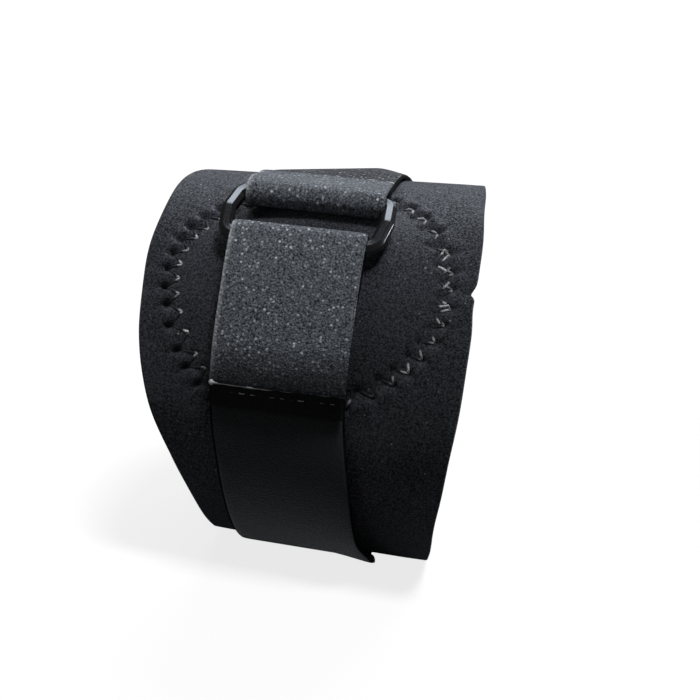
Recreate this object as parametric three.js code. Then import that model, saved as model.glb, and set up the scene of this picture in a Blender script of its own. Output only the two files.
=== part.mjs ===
// Neoprene elbow support: a tubular sleeve with a stitched pressure pad in its front, cinched by a
// webbing strap that goes through a ring and folds back on itself.
// Millimetres. X runs along the sleeve towards the elbow end, -Y is the padded front and Z is up.
// The support lies on its side, and the origin is the middle of the strap's flat underside.
// Angles are degrees round the sleeve: 0 at the front, 90 on top, 180 behind and -90 underneath.
import * as THREE from "three";

// Thicknesses and gaps
const WALL = 3.4; // neoprene with its knit facings
const WEBBING = 1.5; // strap and ring tab
const HOOK_TAPE = 1.2; // hook tab
const SEAT_GAP = 0.4; // webbing to sleeve, and pad to sleeve
const PLY_GAP = 0.3; // ply to ply, and webbing to ring

// Sleeve section: an upright ellipse that grows towards the elbow, pressed flat where it rests
const HALF_HEIGHT = 52.9; // at x = 0
const TAPER = 0.05; // half height gained per millimetre of x
const DEPTH_RATIO = 0.9; // half depth over half height
const SAG = 4.2; // depth of the pressed part
const UNDERSIDE = SEAT_GAP + WEBBING; // sleeve's height above the surface it rests on

// Round the sleeve: x of its left edge, its right edge and the strap's middle line
const GIRTH = [
  { angle: -90, left: -26.5, right: 33.0, strap: 0.0 },
  { angle: -62, left: -28.9, right: 32.9, strap: -2.3 },
  { angle: -42, left: -33.3, right: 32.6, strap: -6.0 },
  { angle: -20, left: -41.4, right: 32.6, strap: -10.5 },
  { angle: 0, left: -50.5, right: 33.2, strap: -14.6 },
  { angle: 20, left: -54.9, right: 33.7, strap: -16.3 },
  { angle: 40, left: -56.1, right: 33.1, strap: -16.2 },
  { angle: 62, left: -54.8, right: 32.8, strap: -14.9 },
  { angle: 82, left: -52.2, right: 32.5, strap: -12.3 },
  { angle: 96, left: -48.8, right: 32.4, strap: -10.2 },
  { angle: 125, left: -38.0, right: 32.7, strap: -6.0 },
  { angle: 160, left: -30.0, right: 33.0, strap: -2.0 },
  { angle: 210, left: -27.0, right: 33.0, strap: 0.5 },
];

// Oval pressure pad, a superellipse laid on the sleeve
const PAD = {
  angle: 40.6,
  x: -11.2,
  halfRound: 33, // half size round the sleeve
  halfAlong: 36.6, // half size along it
  turn: -26, // degrees from the sleeve's own directions
  power: 2.3,
  rise: 3, // outward bulge of the sleeve over it
  inward: 2.4, // how far it stands into the sleeve
  rim: 0.5, // share of the half size over which the bulge rises
};

// Ring: a rectangle of chamfered bars, sizes to the bars' centre lines
const RING = { bar: 3.8, chamfer: 1, span: 42.8, pitch: 16.2, corner: 2.5, x: -14.8, angle: 50.8, turn: -1.2 };
const WRAP_RADIUS = Math.hypot(RING.bar / 2, RING.bar / 2 - RING.chamfer) + PLY_GAP + WEBBING / 2;

// Webbing: width, and the angles where its runs begin and end
const STRAP_WIDTH = 37.5;
const STRAP = { root: -202.5, end: 9, liftOff: 12, settle: 26 };
const TAB = { root: 150, end: 88, liftOff: 12, settle: 19 };
const HOOK_TAB = { start: 34, past: 6.5, width: 36 }; // start angle, millimetres past the strap's end

// Heights of webbing middle faces above the sleeve
const FIRST_PLY = SEAT_GAP + WEBBING / 2;
const SECOND_PLY = FIRST_PLY + WEBBING + PLY_GAP;
const HOOK_PLY = SEAT_GAP + WEBBING + PLY_GAP + HOOK_TAPE / 2;
const FREE_PLY = HOOK_PLY + HOOK_TAPE / 2 + PLY_GAP + WEBBING / 2;

// Facets
const GIRTH_STEP = 3.75; // degrees
const SLEEVE_COLUMNS = 12;
const WEBBING_COLUMNS = 5;
const WRAP_STEPS = 8;
const PAD_CELLS = 14;
const FINE_STEP = 0.01; // degrees, for slopes and for finding the ring's upper bar

const radians = THREE.MathUtils.degToRad;
const smoothRise = (t) => THREE.MathUtils.smoothstep(t, 0, 1);

// Evenly spaced numbers from first to last, both included
function spread(first, last, steps) {
  return Array.from({ length: steps + 1 }, (_, i) => first + ((last - first) * i) / steps);
}

// One column of the girth table at any angle: a periodic cubic through its rows
function girth(column, angle) {
  const count = GIRTH.length;
  const row = (i) => {
    const turns = Math.floor(i / count);
    const entry = GIRTH[i - turns * count];
    return { angle: entry.angle + 360 * turns, value: entry[column] };
  };
  const start = GIRTH[0].angle;
  const wrapped = start + THREE.MathUtils.euclideanModulo(angle - start, 360);
  let i = count - 1;
  while (GIRTH[i].angle > wrapped) i -= 1;
  const [before, from, to, after] = [row(i - 1), row(i), row(i + 1), row(i + 2)];
  const width = to.angle - from.angle;
  const slopeFrom = (to.value - before.value) / (to.angle - before.angle);
  const slopeTo = (after.value - from.value) / (after.angle - from.angle);
  const t = (wrapped - from.angle) / width;
  const u = 1 - t;
  const ends = u * u * (1 + 2 * t) * from.value + t * t * (3 - 2 * t) * to.value;
  return ends + t * u * width * (u * slopeFrom - t * slopeTo);
}

const halfHeight = (x) => HALF_HEIGHT + TAPER * x;

// The sleeve's outer face without the pad's bulge, as y and z
function section(angle, x) {
  const height = halfHeight(x);
  const phi = radians(angle);
  const lift = height - SAG + height * Math.sin(phi);
  return new THREE.Vector2(-DEPTH_RATIO * height * Math.cos(phi), UNDERSIDE + Math.max(0, lift));
}

const padRadius = 0.5 * (1 + DEPTH_RATIO) * halfHeight(PAD.x);

// How far out on the pad a place is: 0 at its middle, 1 on its outline
function padReach(angle, x) {
  const apart = THREE.MathUtils.euclideanModulo(angle - PAD.angle + 180, 360) - 180;
  const place = new THREE.Vector2(x - PAD.x, radians(apart) * padRadius);
  place.rotateAround(new THREE.Vector2(), radians(PAD.turn));
  const along = Math.abs(place.x / PAD.halfAlong) ** PAD.power;
  const round = Math.abs(place.y / PAD.halfRound) ** PAD.power;
  return (along + round) ** (1 / PAD.power);
}

const padRise = (angle, x) => PAD.rise * smoothRise((1 - padReach(angle, x)) / PAD.rim);

// A point at a height above the sleeve's outer face, with or without the pad's bulge
function above(angle, x, height, bulged = true) {
  const along = section(angle + FINE_STEP, x).sub(section(angle - FINE_STEP, x)).normalize();
  const total = height + (bulged ? padRise(angle, x) : 0);
  const place = section(angle, x).add(new THREE.Vector2(-along.y, along.x).multiplyScalar(total));
  return new THREE.Vector3(x, place.x, place.y);
}

// A closed solid between two grids of points; a looped solid has its last row joined to its first
function solidBetween(outer, inner, looped = false) {
  const rows = outer.length;
  const columns = outer[0].length;
  const points = [...outer.flat(), ...inner.flat()];
  const front = (i, j) => (i % rows) * columns + j;
  const back = (i, j) => rows * columns + front(i, j);
  const faces = [];
  const quad = (a, b, c, d) => faces.push(a, b, c, a, c, d);
  const lastRow = looped ? rows : rows - 1;
  for (let i = 0; i < lastRow; i += 1) {
    for (let j = 0; j < columns - 1; j += 1) {
      quad(front(i, j), front(i, j + 1), front(i + 1, j + 1), front(i + 1, j));
      quad(back(i, j), back(i + 1, j), back(i + 1, j + 1), back(i, j + 1));
    }
    quad(front(i, 0), front(i + 1, 0), back(i + 1, 0), back(i, 0));
    const edge = columns - 1;
    quad(front(i, edge), back(i, edge), back(i + 1, edge), front(i + 1, edge));
  }
  if (!looped) {
    for (let j = 0; j < columns - 1; j += 1) {
      quad(front(0, j), back(0, j), back(0, j + 1), front(0, j + 1));
      quad(front(lastRow, j), front(lastRow, j + 1), back(lastRow, j + 1), back(lastRow, j));
    }
  }
  const geometry = new THREE.BufferGeometry().setFromPoints(points);
  geometry.setIndex(faces);
  geometry.computeVertexNormals();
  return geometry;
}

function finish(name, geometry, look) {
  const mesh = new THREE.Mesh(geometry, new THREE.MeshStandardMaterial(look));
  mesh.name = name;
  return mesh;
}

const NEOPRENE = { color: 0x1c1c21, roughness: 0.92, metalness: 0 };
const PLUSH_WEBBING = { color: 0x26262b, roughness: 0.85, metalness: 0 };
const FOAM = { color: 0x18181b, roughness: 0.95, metalness: 0 };
const MOULDED = { color: 0x121214, roughness: 0.38, metalness: 0 };
const HOOK_BACK = { color: 0x141416, roughness: 0.8, metalness: 0 };

// Sleeve: two faces of the section a wall apart, between the left and right edges
function makeSleeve() {
  const angles = spread(-180, 180 - GIRTH_STEP, 360 / GIRTH_STEP - 1);
  const face = (height) =>
    angles.map((angle) => {
      const edges = [girth("left", angle), girth("right", angle)];
      return spread(...edges, SLEEVE_COLUMNS).map((x) => above(angle, x, height));
    });
  return finish("sleeve", solidBetween(face(0), face(-WALL), true), NEOPRENE);
}

// Pad: an oval cushion under the sleeve's bulge, thickest in the middle
function makePad() {
  const cells = spread(-1, 1, PAD_CELLS);
  const turn = radians(-PAD.turn);
  const edgeShare = 0.98; // keeps the rim inside the seam
  const face = (height) =>
    cells.map((v) =>
      cells.map((u) => {
        const disc = new THREE.Vector2(u * Math.sqrt(1 - (v * v) / 2), v * Math.sqrt(1 - (u * u) / 2));
        const reach = disc.length();
        const bearing = disc.angle();
        const spoke = Math.abs(Math.cos(bearing)) ** PAD.power + Math.abs(Math.sin(bearing)) ** PAD.power;
        disc.multiplyScalar(edgeShare / spoke ** (1 / PAD.power));
        disc.multiply(new THREE.Vector2(PAD.halfAlong, PAD.halfRound));
        disc.rotateAround(new THREE.Vector2(), turn);
        const angle = PAD.angle + THREE.MathUtils.radToDeg(disc.y / padRadius);
        return height(angle, PAD.x + disc.x, reach);
      }),
    );
  const roof = -WALL - SEAT_GAP;
  const rimThickness = 0.8;
  const outer = face((angle, x) => above(angle, x, roof));
  const inner = face((angle, x, reach) => {
    const depth = rimThickness + (PAD.inward - rimThickness) * smoothRise((1 - reach) / PAD.rim);
    return above(angle, x, roof - depth, false);
  });
  return finish("pad", solidBetween(outer, inner), FOAM);
}

// Where the ring sits: the middles of its two bars and its own directions
function placeRing() {
  const height = FIRST_PLY + WRAP_RADIUS;
  const low = above(RING.angle, RING.x, height);
  let highAngle = RING.angle;
  let high = low;
  while (high.distanceTo(low) < RING.pitch) {
    highAngle += FINE_STEP;
    high = above(highAngle, RING.x, height);
  }
  const middleAngle = (RING.angle + highAngle) / 2;
  const reach = RING.span / 2;
  const rightEnd = above(middleAngle, RING.x + reach, height, false);
  const leftEnd = above(middleAngle, RING.x - reach, height, false);
  const up = high.clone().sub(low).normalize();
  const out = rightEnd.sub(leftEnd).cross(up).normalize();
  up.applyAxisAngle(out, radians(RING.turn));
  const along = up.clone().cross(out);
  const centre = low.clone().add(high).divideScalar(2);
  const bar = (side) => centre.clone().addScaledVector(up, (side * RING.pitch) / 2);
  return { centre, along, up, out, low: bar(-1), high: bar(1), highAngle };
}

const ringPlace = placeRing();

// A rectangle with round corners, as a shape or as the hole in one
function roundedRectangle(path, width, height, radius) {
  const right = width / 2;
  const top = height / 2;
  path.moveTo(radius - right, -top);
  path.lineTo(right - radius, -top);
  path.absarc(right - radius, radius - top, radius, -Math.PI / 2, 0);
  path.lineTo(right, top - radius);
  path.absarc(right - radius, top - radius, radius, 0, Math.PI / 2);
  path.lineTo(radius - right, top);
  path.absarc(radius - right, top - radius, radius, Math.PI / 2, Math.PI);
  path.lineTo(-right, radius - top);
  path.absarc(radius - right, radius - top, radius, Math.PI, 1.5 * Math.PI);
  return path;
}

// Ring: a flat frame with chamfered bars, laid over the webbing
function makeRing() {
  const flat = RING.bar / 2 - RING.chamfer;
  const { span, pitch, corner } = RING;
  const frame = roundedRectangle(new THREE.Shape(), span + 2 * flat, pitch + 2 * flat, corner + flat);
  frame.holes.push(roundedRectangle(new THREE.Path(), span - 2 * flat, pitch - 2 * flat, corner - flat));
  const geometry = new THREE.ExtrudeGeometry(frame, {
    depth: 2 * flat,
    bevelThickness: RING.chamfer,
    bevelSize: RING.chamfer,
    bevelSegments: 1,
    curveSegments: 5,
  });
  geometry.translate(0, 0, -flat);
  const mesh = finish("ring", geometry, MOULDED);
  const { along, up, out, centre } = ringPlace;
  mesh.quaternion.setFromRotationMatrix(new THREE.Matrix4().makeBasis(along, up, out));
  mesh.position.copy(centre);
  return mesh;
}

const acrossWebbing = (width) => spread(-width / 2, width / 2, WEBBING_COLUMNS);

// A row of webbing lying at a height above the sleeve
function lyingRow(angle, height, width = STRAP_WIDTH) {
  const middle = girth("strap", angle);
  return acrossWebbing(width).map((side) => above(angle, middle + side, height));
}

// A row of webbing going round a bar, at a bearing from the ring's own up direction
function wrappedRow(bar, bearing, radius) {
  const { along, up, out } = ringPlace;
  const place = bar.clone();
  place.addScaledVector(up, radius * Math.cos(radians(bearing)));
  place.addScaledVector(out, radius * Math.sin(radians(bearing)));
  return acrossWebbing(STRAP_WIDTH).map((side) => place.clone().addScaledVector(along, side));
}

// A lying row, drawn by a share of the way that takes the row at the bar's angle to its target
function easedRow(angle, height, share, target, targetAngle) {
  const seat = lyingRow(targetAngle, height);
  return lyingRow(angle, height).map((point, j) => {
    const offset = target[j].clone().sub(seat[j]);
    return point.addScaledVector(offset, share);
  });
}

// One face of webbing that comes in under a bar, goes round it and lies back on itself;
// the outer face has an offset of half the thickness, the inner face of minus that
function loopedFace({ bar, barAngle, root, end, liftOff, settle, returnPly, turn }, offset) {
  const bearings = spread(-90, -90 + turn, WRAP_STEPS);
  const wrapped = bearings.map((bearing) => wrappedRow(bar, bearing, WRAP_RADIUS - offset));
  const inSteps = Math.round(Math.abs(barAngle - root) / GIRTH_STEP);
  const backSteps = Math.round(Math.abs(end - barAngle) / GIRTH_STEP);
  const incoming = spread(root, barAngle, inSteps).slice(0, -1).map((angle) => {
    const share = smoothRise(1 - Math.abs(barAngle - angle) / liftOff);
    return easedRow(angle, FIRST_PLY + offset, share, wrapped[0], barAngle);
  });
  const returning = spread(barAngle, end, backSteps).slice(1).map((angle) => {
    const share = 1 - smoothRise(Math.abs(angle - barAngle) / settle);
    return easedRow(angle, returnPly - offset, share, wrapped[WRAP_STEPS], barAngle);
  });
  return [...incoming, ...wrapped, ...returning];
}

// Ring tab: sewn on behind, over the top, round the ring's upper bar and back on itself
function makeRingTab() {
  const run = {
    ...TAB,
    bar: ringPlace.high,
    barAngle: ringPlace.highAngle,
    returnPly: SECOND_PLY,
    turn: -180,
  };
  const geometry = solidBetween(loopedFace(run, -WEBBING / 2), loopedFace(run, WEBBING / 2));
  return finish("ring_tab", geometry, PLUSH_WEBBING);
}

// Strap: sewn on behind, underneath, up the front, round the ring's lower bar and back down
function makeStrap() {
  const run = { ...STRAP, bar: ringPlace.low, barAngle: RING.angle, returnPly: FREE_PLY, turn: 180 };
  const geometry = solidBetween(loopedFace(run, WEBBING / 2), loopedFace(run, -WEBBING / 2));
  return finish("strap", geometry, PLUSH_WEBBING);
}

// Hook tab: a strip under the strap's free end that runs a little past it
function makeHookTab() {
  const frontRadius = halfHeight(PAD.x) * DEPTH_RATIO + PAD.rise + HOOK_PLY;
  const end = STRAP.end - THREE.MathUtils.radToDeg(HOOK_TAB.past / frontRadius);
  const steps = Math.round((HOOK_TAB.start - end) / GIRTH_STEP);
  const face = (offset) =>
    spread(end, HOOK_TAB.start, steps).map((angle) => lyingRow(angle, HOOK_PLY + offset, HOOK_TAB.width));
  const geometry = solidBetween(face(HOOK_TAPE / 2), face(-HOOK_TAPE / 2));
  return finish("hook_tab", geometry, HOOK_BACK);
}

const support = new THREE.Group();
support.name = "elbow_support";
support.add(makeSleeve(), makePad(), makeRing(), makeRingTab(), makeStrap(), makeHookTab());

export default support;
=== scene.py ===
"""Finish and studio view of a neoprene elbow support.

A tubular sleeve with a stitched pressure pad is cinched by a webbing strap that goes through a ring.
Sizes are millimetres and angles are degrees round the sleeve: 0 in front, 90 on top, 180 behind and
-90 underneath. Meshes are written in metres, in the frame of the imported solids: X runs along the
sleeve towards the elbow end, -Y is the padded front and Z is up.
"""

import logging
from dataclasses import dataclass, field
from enum import Enum
from functools import cached_property

import bpy
import numpy as np
from mathutils import Matrix


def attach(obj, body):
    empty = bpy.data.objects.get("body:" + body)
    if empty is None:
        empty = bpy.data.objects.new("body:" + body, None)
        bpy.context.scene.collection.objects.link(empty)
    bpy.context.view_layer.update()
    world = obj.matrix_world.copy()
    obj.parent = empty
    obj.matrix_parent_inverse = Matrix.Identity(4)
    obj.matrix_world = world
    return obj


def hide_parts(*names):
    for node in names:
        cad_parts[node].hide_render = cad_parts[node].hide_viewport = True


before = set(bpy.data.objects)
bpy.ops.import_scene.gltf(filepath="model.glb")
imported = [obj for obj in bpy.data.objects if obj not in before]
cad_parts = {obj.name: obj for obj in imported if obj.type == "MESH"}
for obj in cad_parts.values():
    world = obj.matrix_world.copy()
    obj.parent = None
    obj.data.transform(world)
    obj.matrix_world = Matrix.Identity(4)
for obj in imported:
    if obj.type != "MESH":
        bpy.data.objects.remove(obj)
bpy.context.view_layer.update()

MM = 0.001
BODY = "root"
CLOTH_MAP = "cloth"
TAPE_REACH = 0.502
SHEEN_TINT = (0.86, 0.92, 1.0)
SHEEN_ROUGHNESS = 0.5
COAT_ROUGHNESS = 0.55
NEUTRAL = (1.0, 1.0, 1.0)
COOL = (0.8, 0.88, 1.0)
LOG = logging.getLogger("elbow_support")

Array = np.ndarray
Colour = tuple[float, float, float]
Waves = tuple[tuple[float, int, float], ...]
Socket = bpy.types.NodeSocket
Inputs = dict[str | int, object]
Sockets = dict[str, Socket]


class Slot(Enum):
    """Names of material slots."""

    NEOPRENE = "neoprene"
    PAD_CLOTH = "pad_cloth"
    MOULDED_PLASTIC = "moulded_plastic"
    WEBBING = "webbing"
    HOOK_TAPE = "hook_tape"


class Edge(Enum):
    """Columns of the girth table."""

    LEFT = "left"
    RIGHT = "right"
    STRAP = "strap"


class Grain(Enum):
    """Sizes of mottle that a tone can follow."""

    BROAD = "broad"
    FINE = "fine"


class Bar(Enum):
    """Bars of the ring, as the side of its middle where each lies."""

    LOWER = -1.0
    UPPER = 1.0


def smooth_rise(share: Array) -> Array:
    """Rises from 0 to 1 with level ends: 3t^2 - 2t^3 of the share clipped to 0..1."""
    t = np.clip(share, 0.0, 1.0)
    return t * t * (3.0 - 2.0 * t)


def bell(distance: Array, width: float) -> Array:
    """Falls from 1 as a bell curve: e to minus the square of distance over width."""
    return np.exp(-((distance / width) ** 2))


def unit(vectors: Array) -> Array:
    """Vectors divided by their lengths."""
    return vectors / np.linalg.norm(vectors, axis=-1, keepdims=True)


def ripple(angle: Array, waves: Waves) -> Array:
    """Sum of sines round the sleeve, each given as height, turns and start in degrees."""
    return sum(height * np.sin(np.radians(turns * angle + start)) for height, turns, start in waves)


def run_length(path: Array) -> Array:
    """Length run along a path, or along each of several, up to each of its points."""
    steps = np.linalg.norm(np.diff(path, axis=-2, prepend=path[..., :1, :]), axis=-1)
    return np.cumsum(steps, axis=-1)


def cloth_grid(wide: Array, run: Array) -> Array:
    """Cloth coordinates of a grid: places across for its columns and lengths run for its rows."""
    return np.stack(np.broadcast_arrays(wide[None, :], run[:, None]), -1)


def tape_half(across: Array, width: float, thickness: float, power: int) -> Array:
    """Half thickness across a tape, round at its selvedges: the root of 1 less a power of the share."""
    share = np.abs(across) / (TAPE_REACH * width)
    return thickness / 2.0 * np.sqrt(1.0 - share**power)


def ribbon(outer: Array, inner: Array) -> Array:
    """Rows that go out along the outer face and back along the inner one."""
    return np.concatenate([outer, inner[:, ::-1]], 1)


def grey(value: float) -> tuple[float, float, float, float]:
    """An opaque grey."""
    return (value, value, value, 1.0)


@dataclass
class Shell:
    """Closed faces over points, with cloth coordinates at face corners and values at points."""

    points: Array
    faces: list[Array]
    corners: list[Array]
    values: dict[str, Array] = field(default_factory=dict)

    @classmethod
    def ring_grid(cls, points: Array, cloth: Array, loop_rows: bool = False) -> "Shell":
        """Joins a grid whose columns close on themselves, and whose rows close or are capped.

        A cap pairs column j with the column opposite it in the loop, counted from the other end.

        Args:
            points: rows x columns x 3 places.
            cloth: (rows + 1) x (columns + 1) x 2 cloth coordinates, one more for the closing faces.
            loop_rows: whether the last row joins the first.

        Returns:
            The closed shell.
        """
        rows, columns = points.shape[:2]
        i = np.arange(rows if loop_rows else rows - 1)[:, None]
        j = np.arange(columns)[None, :]
        around = [(i, j), (i, j + 1), (i + 1, j + 1), (i + 1, j)]
        quads = np.stack([(a % rows) * columns + b % columns for a, b in around], -1).reshape(-1, 4)
        corners = np.stack([cloth[a + 0 * b, b + 0 * a] for a, b in around], -2).reshape(-1, 4, 2)
        faces, places = [quads], [corners]
        if not loop_rows:
            k = np.arange(columns // 2 - 1)
            cap = np.stack([k, k + 1, columns - 2 - k, columns - 1 - k], -1)
            for row, order in ((0, cap[:, ::-1]), (rows - 1, cap)):
                faces.append(row * columns + order)
                places.append(cloth[row, order])
        return cls(points.reshape(-1, 3), faces, places).outward()

    @classmethod
    def tubes(cls, paths: Array, radius: Array, sides: int, upright: Array) -> "Shell":
        """Carries a circle along many paths: middle + radius (cos t across + sin t upright).

        Args:
            paths: tubes x stations x 3 middle points.
            radius: radius at each station, which broadcasts to tubes x stations.
            sides: points of the circle.
            upright: directions away from the cloth, which broadcast to the paths.

        Returns:
            All tubes as one shell, each closed by flat ends.
        """
        count, stations = paths.shape[:2]
        ahead = unit(np.gradient(paths, axis=1))
        across = unit(np.cross(ahead, np.broadcast_to(upright, paths.shape)))
        lifted = np.cross(across, ahead)
        turn = np.linspace(0.0, 2.0 * np.pi, sides, endpoint=False)[:, None]
        size = np.broadcast_to(radius, (count, stations))[:, :, None, None]
        circle = np.cos(turn) * across[:, :, None] + np.sin(turn) * lifted[:, :, None]
        points = paths[:, :, None] + size * circle
        run = run_length(paths)
        t, i, j = np.ogrid[:count, : stations - 1, :sides]
        around = [(i, j), (i, j + 1), (i + 1, j + 1), (i + 1, j)]
        index = [(t * stations + a) * sides + b % sides for a, b in around]
        quads = np.stack(np.broadcast_arrays(*index), -1).reshape(-1, 4)
        girth = 2.0 * np.pi * np.mean(radius) / sides
        cloth = [np.stack(np.broadcast_arrays(girth * b, run[t, a]), -1) for a, b in around]
        full = (count, stations - 1, sides, 2)
        corners = np.stack([np.broadcast_to(c, full) for c in cloth], -2).reshape(-1, 4, 2)
        first = np.arange(count)[:, None] * stations * sides
        ends = [first + np.arange(sides)[::-1], first + (stations - 1) * sides + np.arange(sides)]
        caps = np.concatenate(ends)
        return cls(points.reshape(-1, 3), [quads, caps], [corners, np.zeros((*caps.shape, 2))]).outward()

    def outward(self) -> "Shell":
        """Turns all faces over if the volume that they enclose comes out negative.

        Returns:
            The same shell.
        """
        volume = 0.0
        for group in self.faces:
            for k in range(1, group.shape[1] - 1):
                a, b, c = (self.points[group[:, n]] for n in (0, k, k + 1))
                volume += float(np.sum(a * np.cross(b, c)))
        if volume < 0.0:
            self.faces = [group[:, ::-1] for group in self.faces]
            self.corners = [group[:, ::-1] for group in self.corners]
        return self

    def to_object(self, name: str) -> bpy.types.Object:
        """Writes the shell as a smooth mesh object in metres.

        Args:
            name: name of the piece.

        Returns:
            The object, linked to the scene.
        """
        mesh = bpy.data.meshes.new(name)
        mesh.from_pydata((self.points * MM).tolist(), [], [f for g in self.faces for f in g.tolist()])
        layer = mesh.uv_layers.new(name=CLOTH_MAP)
        layer.data.foreach_set("uv", np.concatenate([c.reshape(-1, 2) for c in self.corners]).ravel() * MM)
        for key, numbers in self.values.items():
            attribute = mesh.attributes.new(key, "FLOAT", "POINT")
            attribute.data.foreach_set("value", np.ascontiguousarray(numbers, np.float32).ravel())
        mesh.polygons.foreach_set("use_smooth", np.ones(len(mesh.polygons), bool))
        mesh.update()
        piece = bpy.data.objects.new(name, mesh)
        bpy.context.scene.collection.objects.link(piece)
        return piece


class Graph:
    """A node tree with short calls that add nodes and join them."""

    mix_colours = (6, 7)
    mix_result = 2

    def __init__(self, tree: bpy.types.NodeTree) -> None:
        """Keeps the tree that nodes are added to."""
        self.tree = tree

    def add(self, kind: str, inputs: Inputs | None = None, **settings: object) -> bpy.types.Node:
        """Adds a node.

        Args:
            kind: node type without its ShaderNode prefix.
            inputs: values or sockets for its inputs.
            settings: the node's own properties.

        Returns:
            The node.
        """
        node = self.tree.nodes.new(f"ShaderNode{kind}")
        for key, value in settings.items():
            setattr(node, key, value)
        for key, value in (inputs or {}).items():
            if isinstance(value, Socket):
                self.tree.links.new(value, node.inputs[key])
            else:
                node.inputs[key].default_value = value
        return node

    def math(self, operation: str, *values: object) -> Socket:
        """One Math node of up to three values."""
        return self.add("Math", dict(enumerate(values)), operation=operation).outputs[0]

    def scaled(self, vector: Socket, factor: object) -> Socket:
        """A vector times a number."""
        return self.add("VectorMath", {0: vector, "Scale": factor}, operation="SCALE").outputs[0]

    def remap(
        self, value: Socket, low: object, high: object, start: float = 0.0, end: float = 1.0
    ) -> Socket:
        """A value taken smoothly from the range low..high to start..end."""
        inputs = {"Value": value, "From Min": low, "From Max": high, "To Min": start, "To Max": end}
        return self.add("MapRange", inputs, interpolation_type="SMOOTHSTEP").outputs[0]

    def noise(self, vector: Socket, scale: object, detail: float = 3.0, roughness: float = 0.55) -> Socket:
        """Fractal noise of a vector, about 0.5."""
        inputs = {"Vector": vector, "Scale": scale, "Detail": detail, "Roughness": roughness}
        return self.add("TexNoise", inputs).outputs[0]

    def cells(self, vector: Socket, pitch: Socket) -> tuple[bpy.types.Node, Socket]:
        """Random cells about a pitch apart, and the vector counted in pitches."""
        place = self.scaled(vector, self.math("DIVIDE", 1.0, pitch))
        return self.add("TexVoronoi", {"Vector": place, "Scale": 1.0}), place

    def blend(self, first: Socket, second: Socket, share: float) -> Socket:
        """Two values added, the second by its share and the first by the rest."""
        part = self.math("MULTIPLY", second, share)
        return self.math("ADD", self.math("MULTIPLY", first, 1.0 - share), part)

    def mixed(self, share: Socket, first: Socket | Colour, second: Socket | Colour) -> Socket:
        """Two colours mixed.

        Args:
            share: 0 for the first colour and 1 for the second.
            first: a socket or a fixed colour.
            second: a socket or a fixed colour.

        Returns:
            The mixed colour.
        """
        inputs = {0: share}
        for key, value in zip(self.mix_colours, (first, second)):
            inputs[key] = value if isinstance(value, Socket) else (*value, 1.0)
        return self.add("Mix", inputs, data_type="RGBA").outputs[self.mix_result]

    def painted(self, name: str) -> Socket:
        """A value kept at the points of the mesh."""
        return self.add("Attribute", attribute_name=name).outputs["Fac"]

    def effect(self, effect: "Effect", inputs: Inputs) -> bpy.types.Node:
        """Places a shared effect with its own values."""
        return self.add("Group", inputs, node_tree=effect.tree)


class Effect:
    """A surface effect that several finishes share, as a node group built once."""

    name = "effect"
    inputs: tuple[tuple[str, str], ...] = ()
    outputs: tuple[str, ...] = ()

    @cached_property
    def tree(self) -> bpy.types.NodeTree:
        """The node group with its named sockets, filled by wire()."""
        tree = bpy.data.node_groups.new(self.name, "ShaderNodeTree")
        for label, kind in self.inputs:
            tree.interface.new_socket(label, in_out="INPUT", socket_type=f"NodeSocket{kind}")
        for label in self.outputs:
            tree.interface.new_socket(label, in_out="OUTPUT", socket_type="NodeSocketFloat")
        graph = Graph(tree)
        entry = tree.nodes.new("NodeGroupInput")
        leave = tree.nodes.new("NodeGroupOutput")
        for label, socket in self.wire(graph, entry).items():
            tree.links.new(socket, leave.inputs[label])
        return tree

    def wire(self, graph: Graph, entry: bpy.types.Node) -> Sockets:
        """Adds the effect's nodes.

        Args:
            graph: graph of the group.
            entry: the group's input node.

        Returns:
            The socket for each output name.
        """
        raise NotImplementedError


class FibreFlecks(Effect):
    """Specks of fibres: a share of random cells, each strongest near its middle at its own strength. On
    plush webbing their light colour is a painted glint.
    """

    name = "fibre_flecks"
    inputs = (("Vector", "Vector"), ("Pitch", "Float"), ("Share", "Float"), ("Size", "Float"))
    outputs = ("Mask",)
    faintest = 0.25

    def wire(self, graph: Graph, entry: bpy.types.Node) -> Sockets:
        """Cells about a pitch apart, dimmed by distance from their middle and by a random threshold.

        Args:
            graph: graph of the group.
            entry: the group's input node.

        Returns:
            The mask of the flecks.
        """
        cells, _ = graph.cells(entry.outputs["Vector"], entry.outputs["Pitch"])
        random = graph.add("SeparateColor", {0: cells.outputs["Color"]})
        near = graph.remap(cells.outputs["Distance"], entry.outputs["Size"], 0.0)
        threshold = graph.math("SUBTRACT", 1.0, entry.outputs["Share"])
        lit = graph.math("GREATER_THAN", random.outputs[0], threshold)
        strength = graph.math("MULTIPLY_ADD", random.outputs[1], 1.0 - self.faintest, self.faintest)
        return {"Mask": graph.math("MULTIPLY", graph.math("MULTIPLY", near, lit), strength)}


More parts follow.
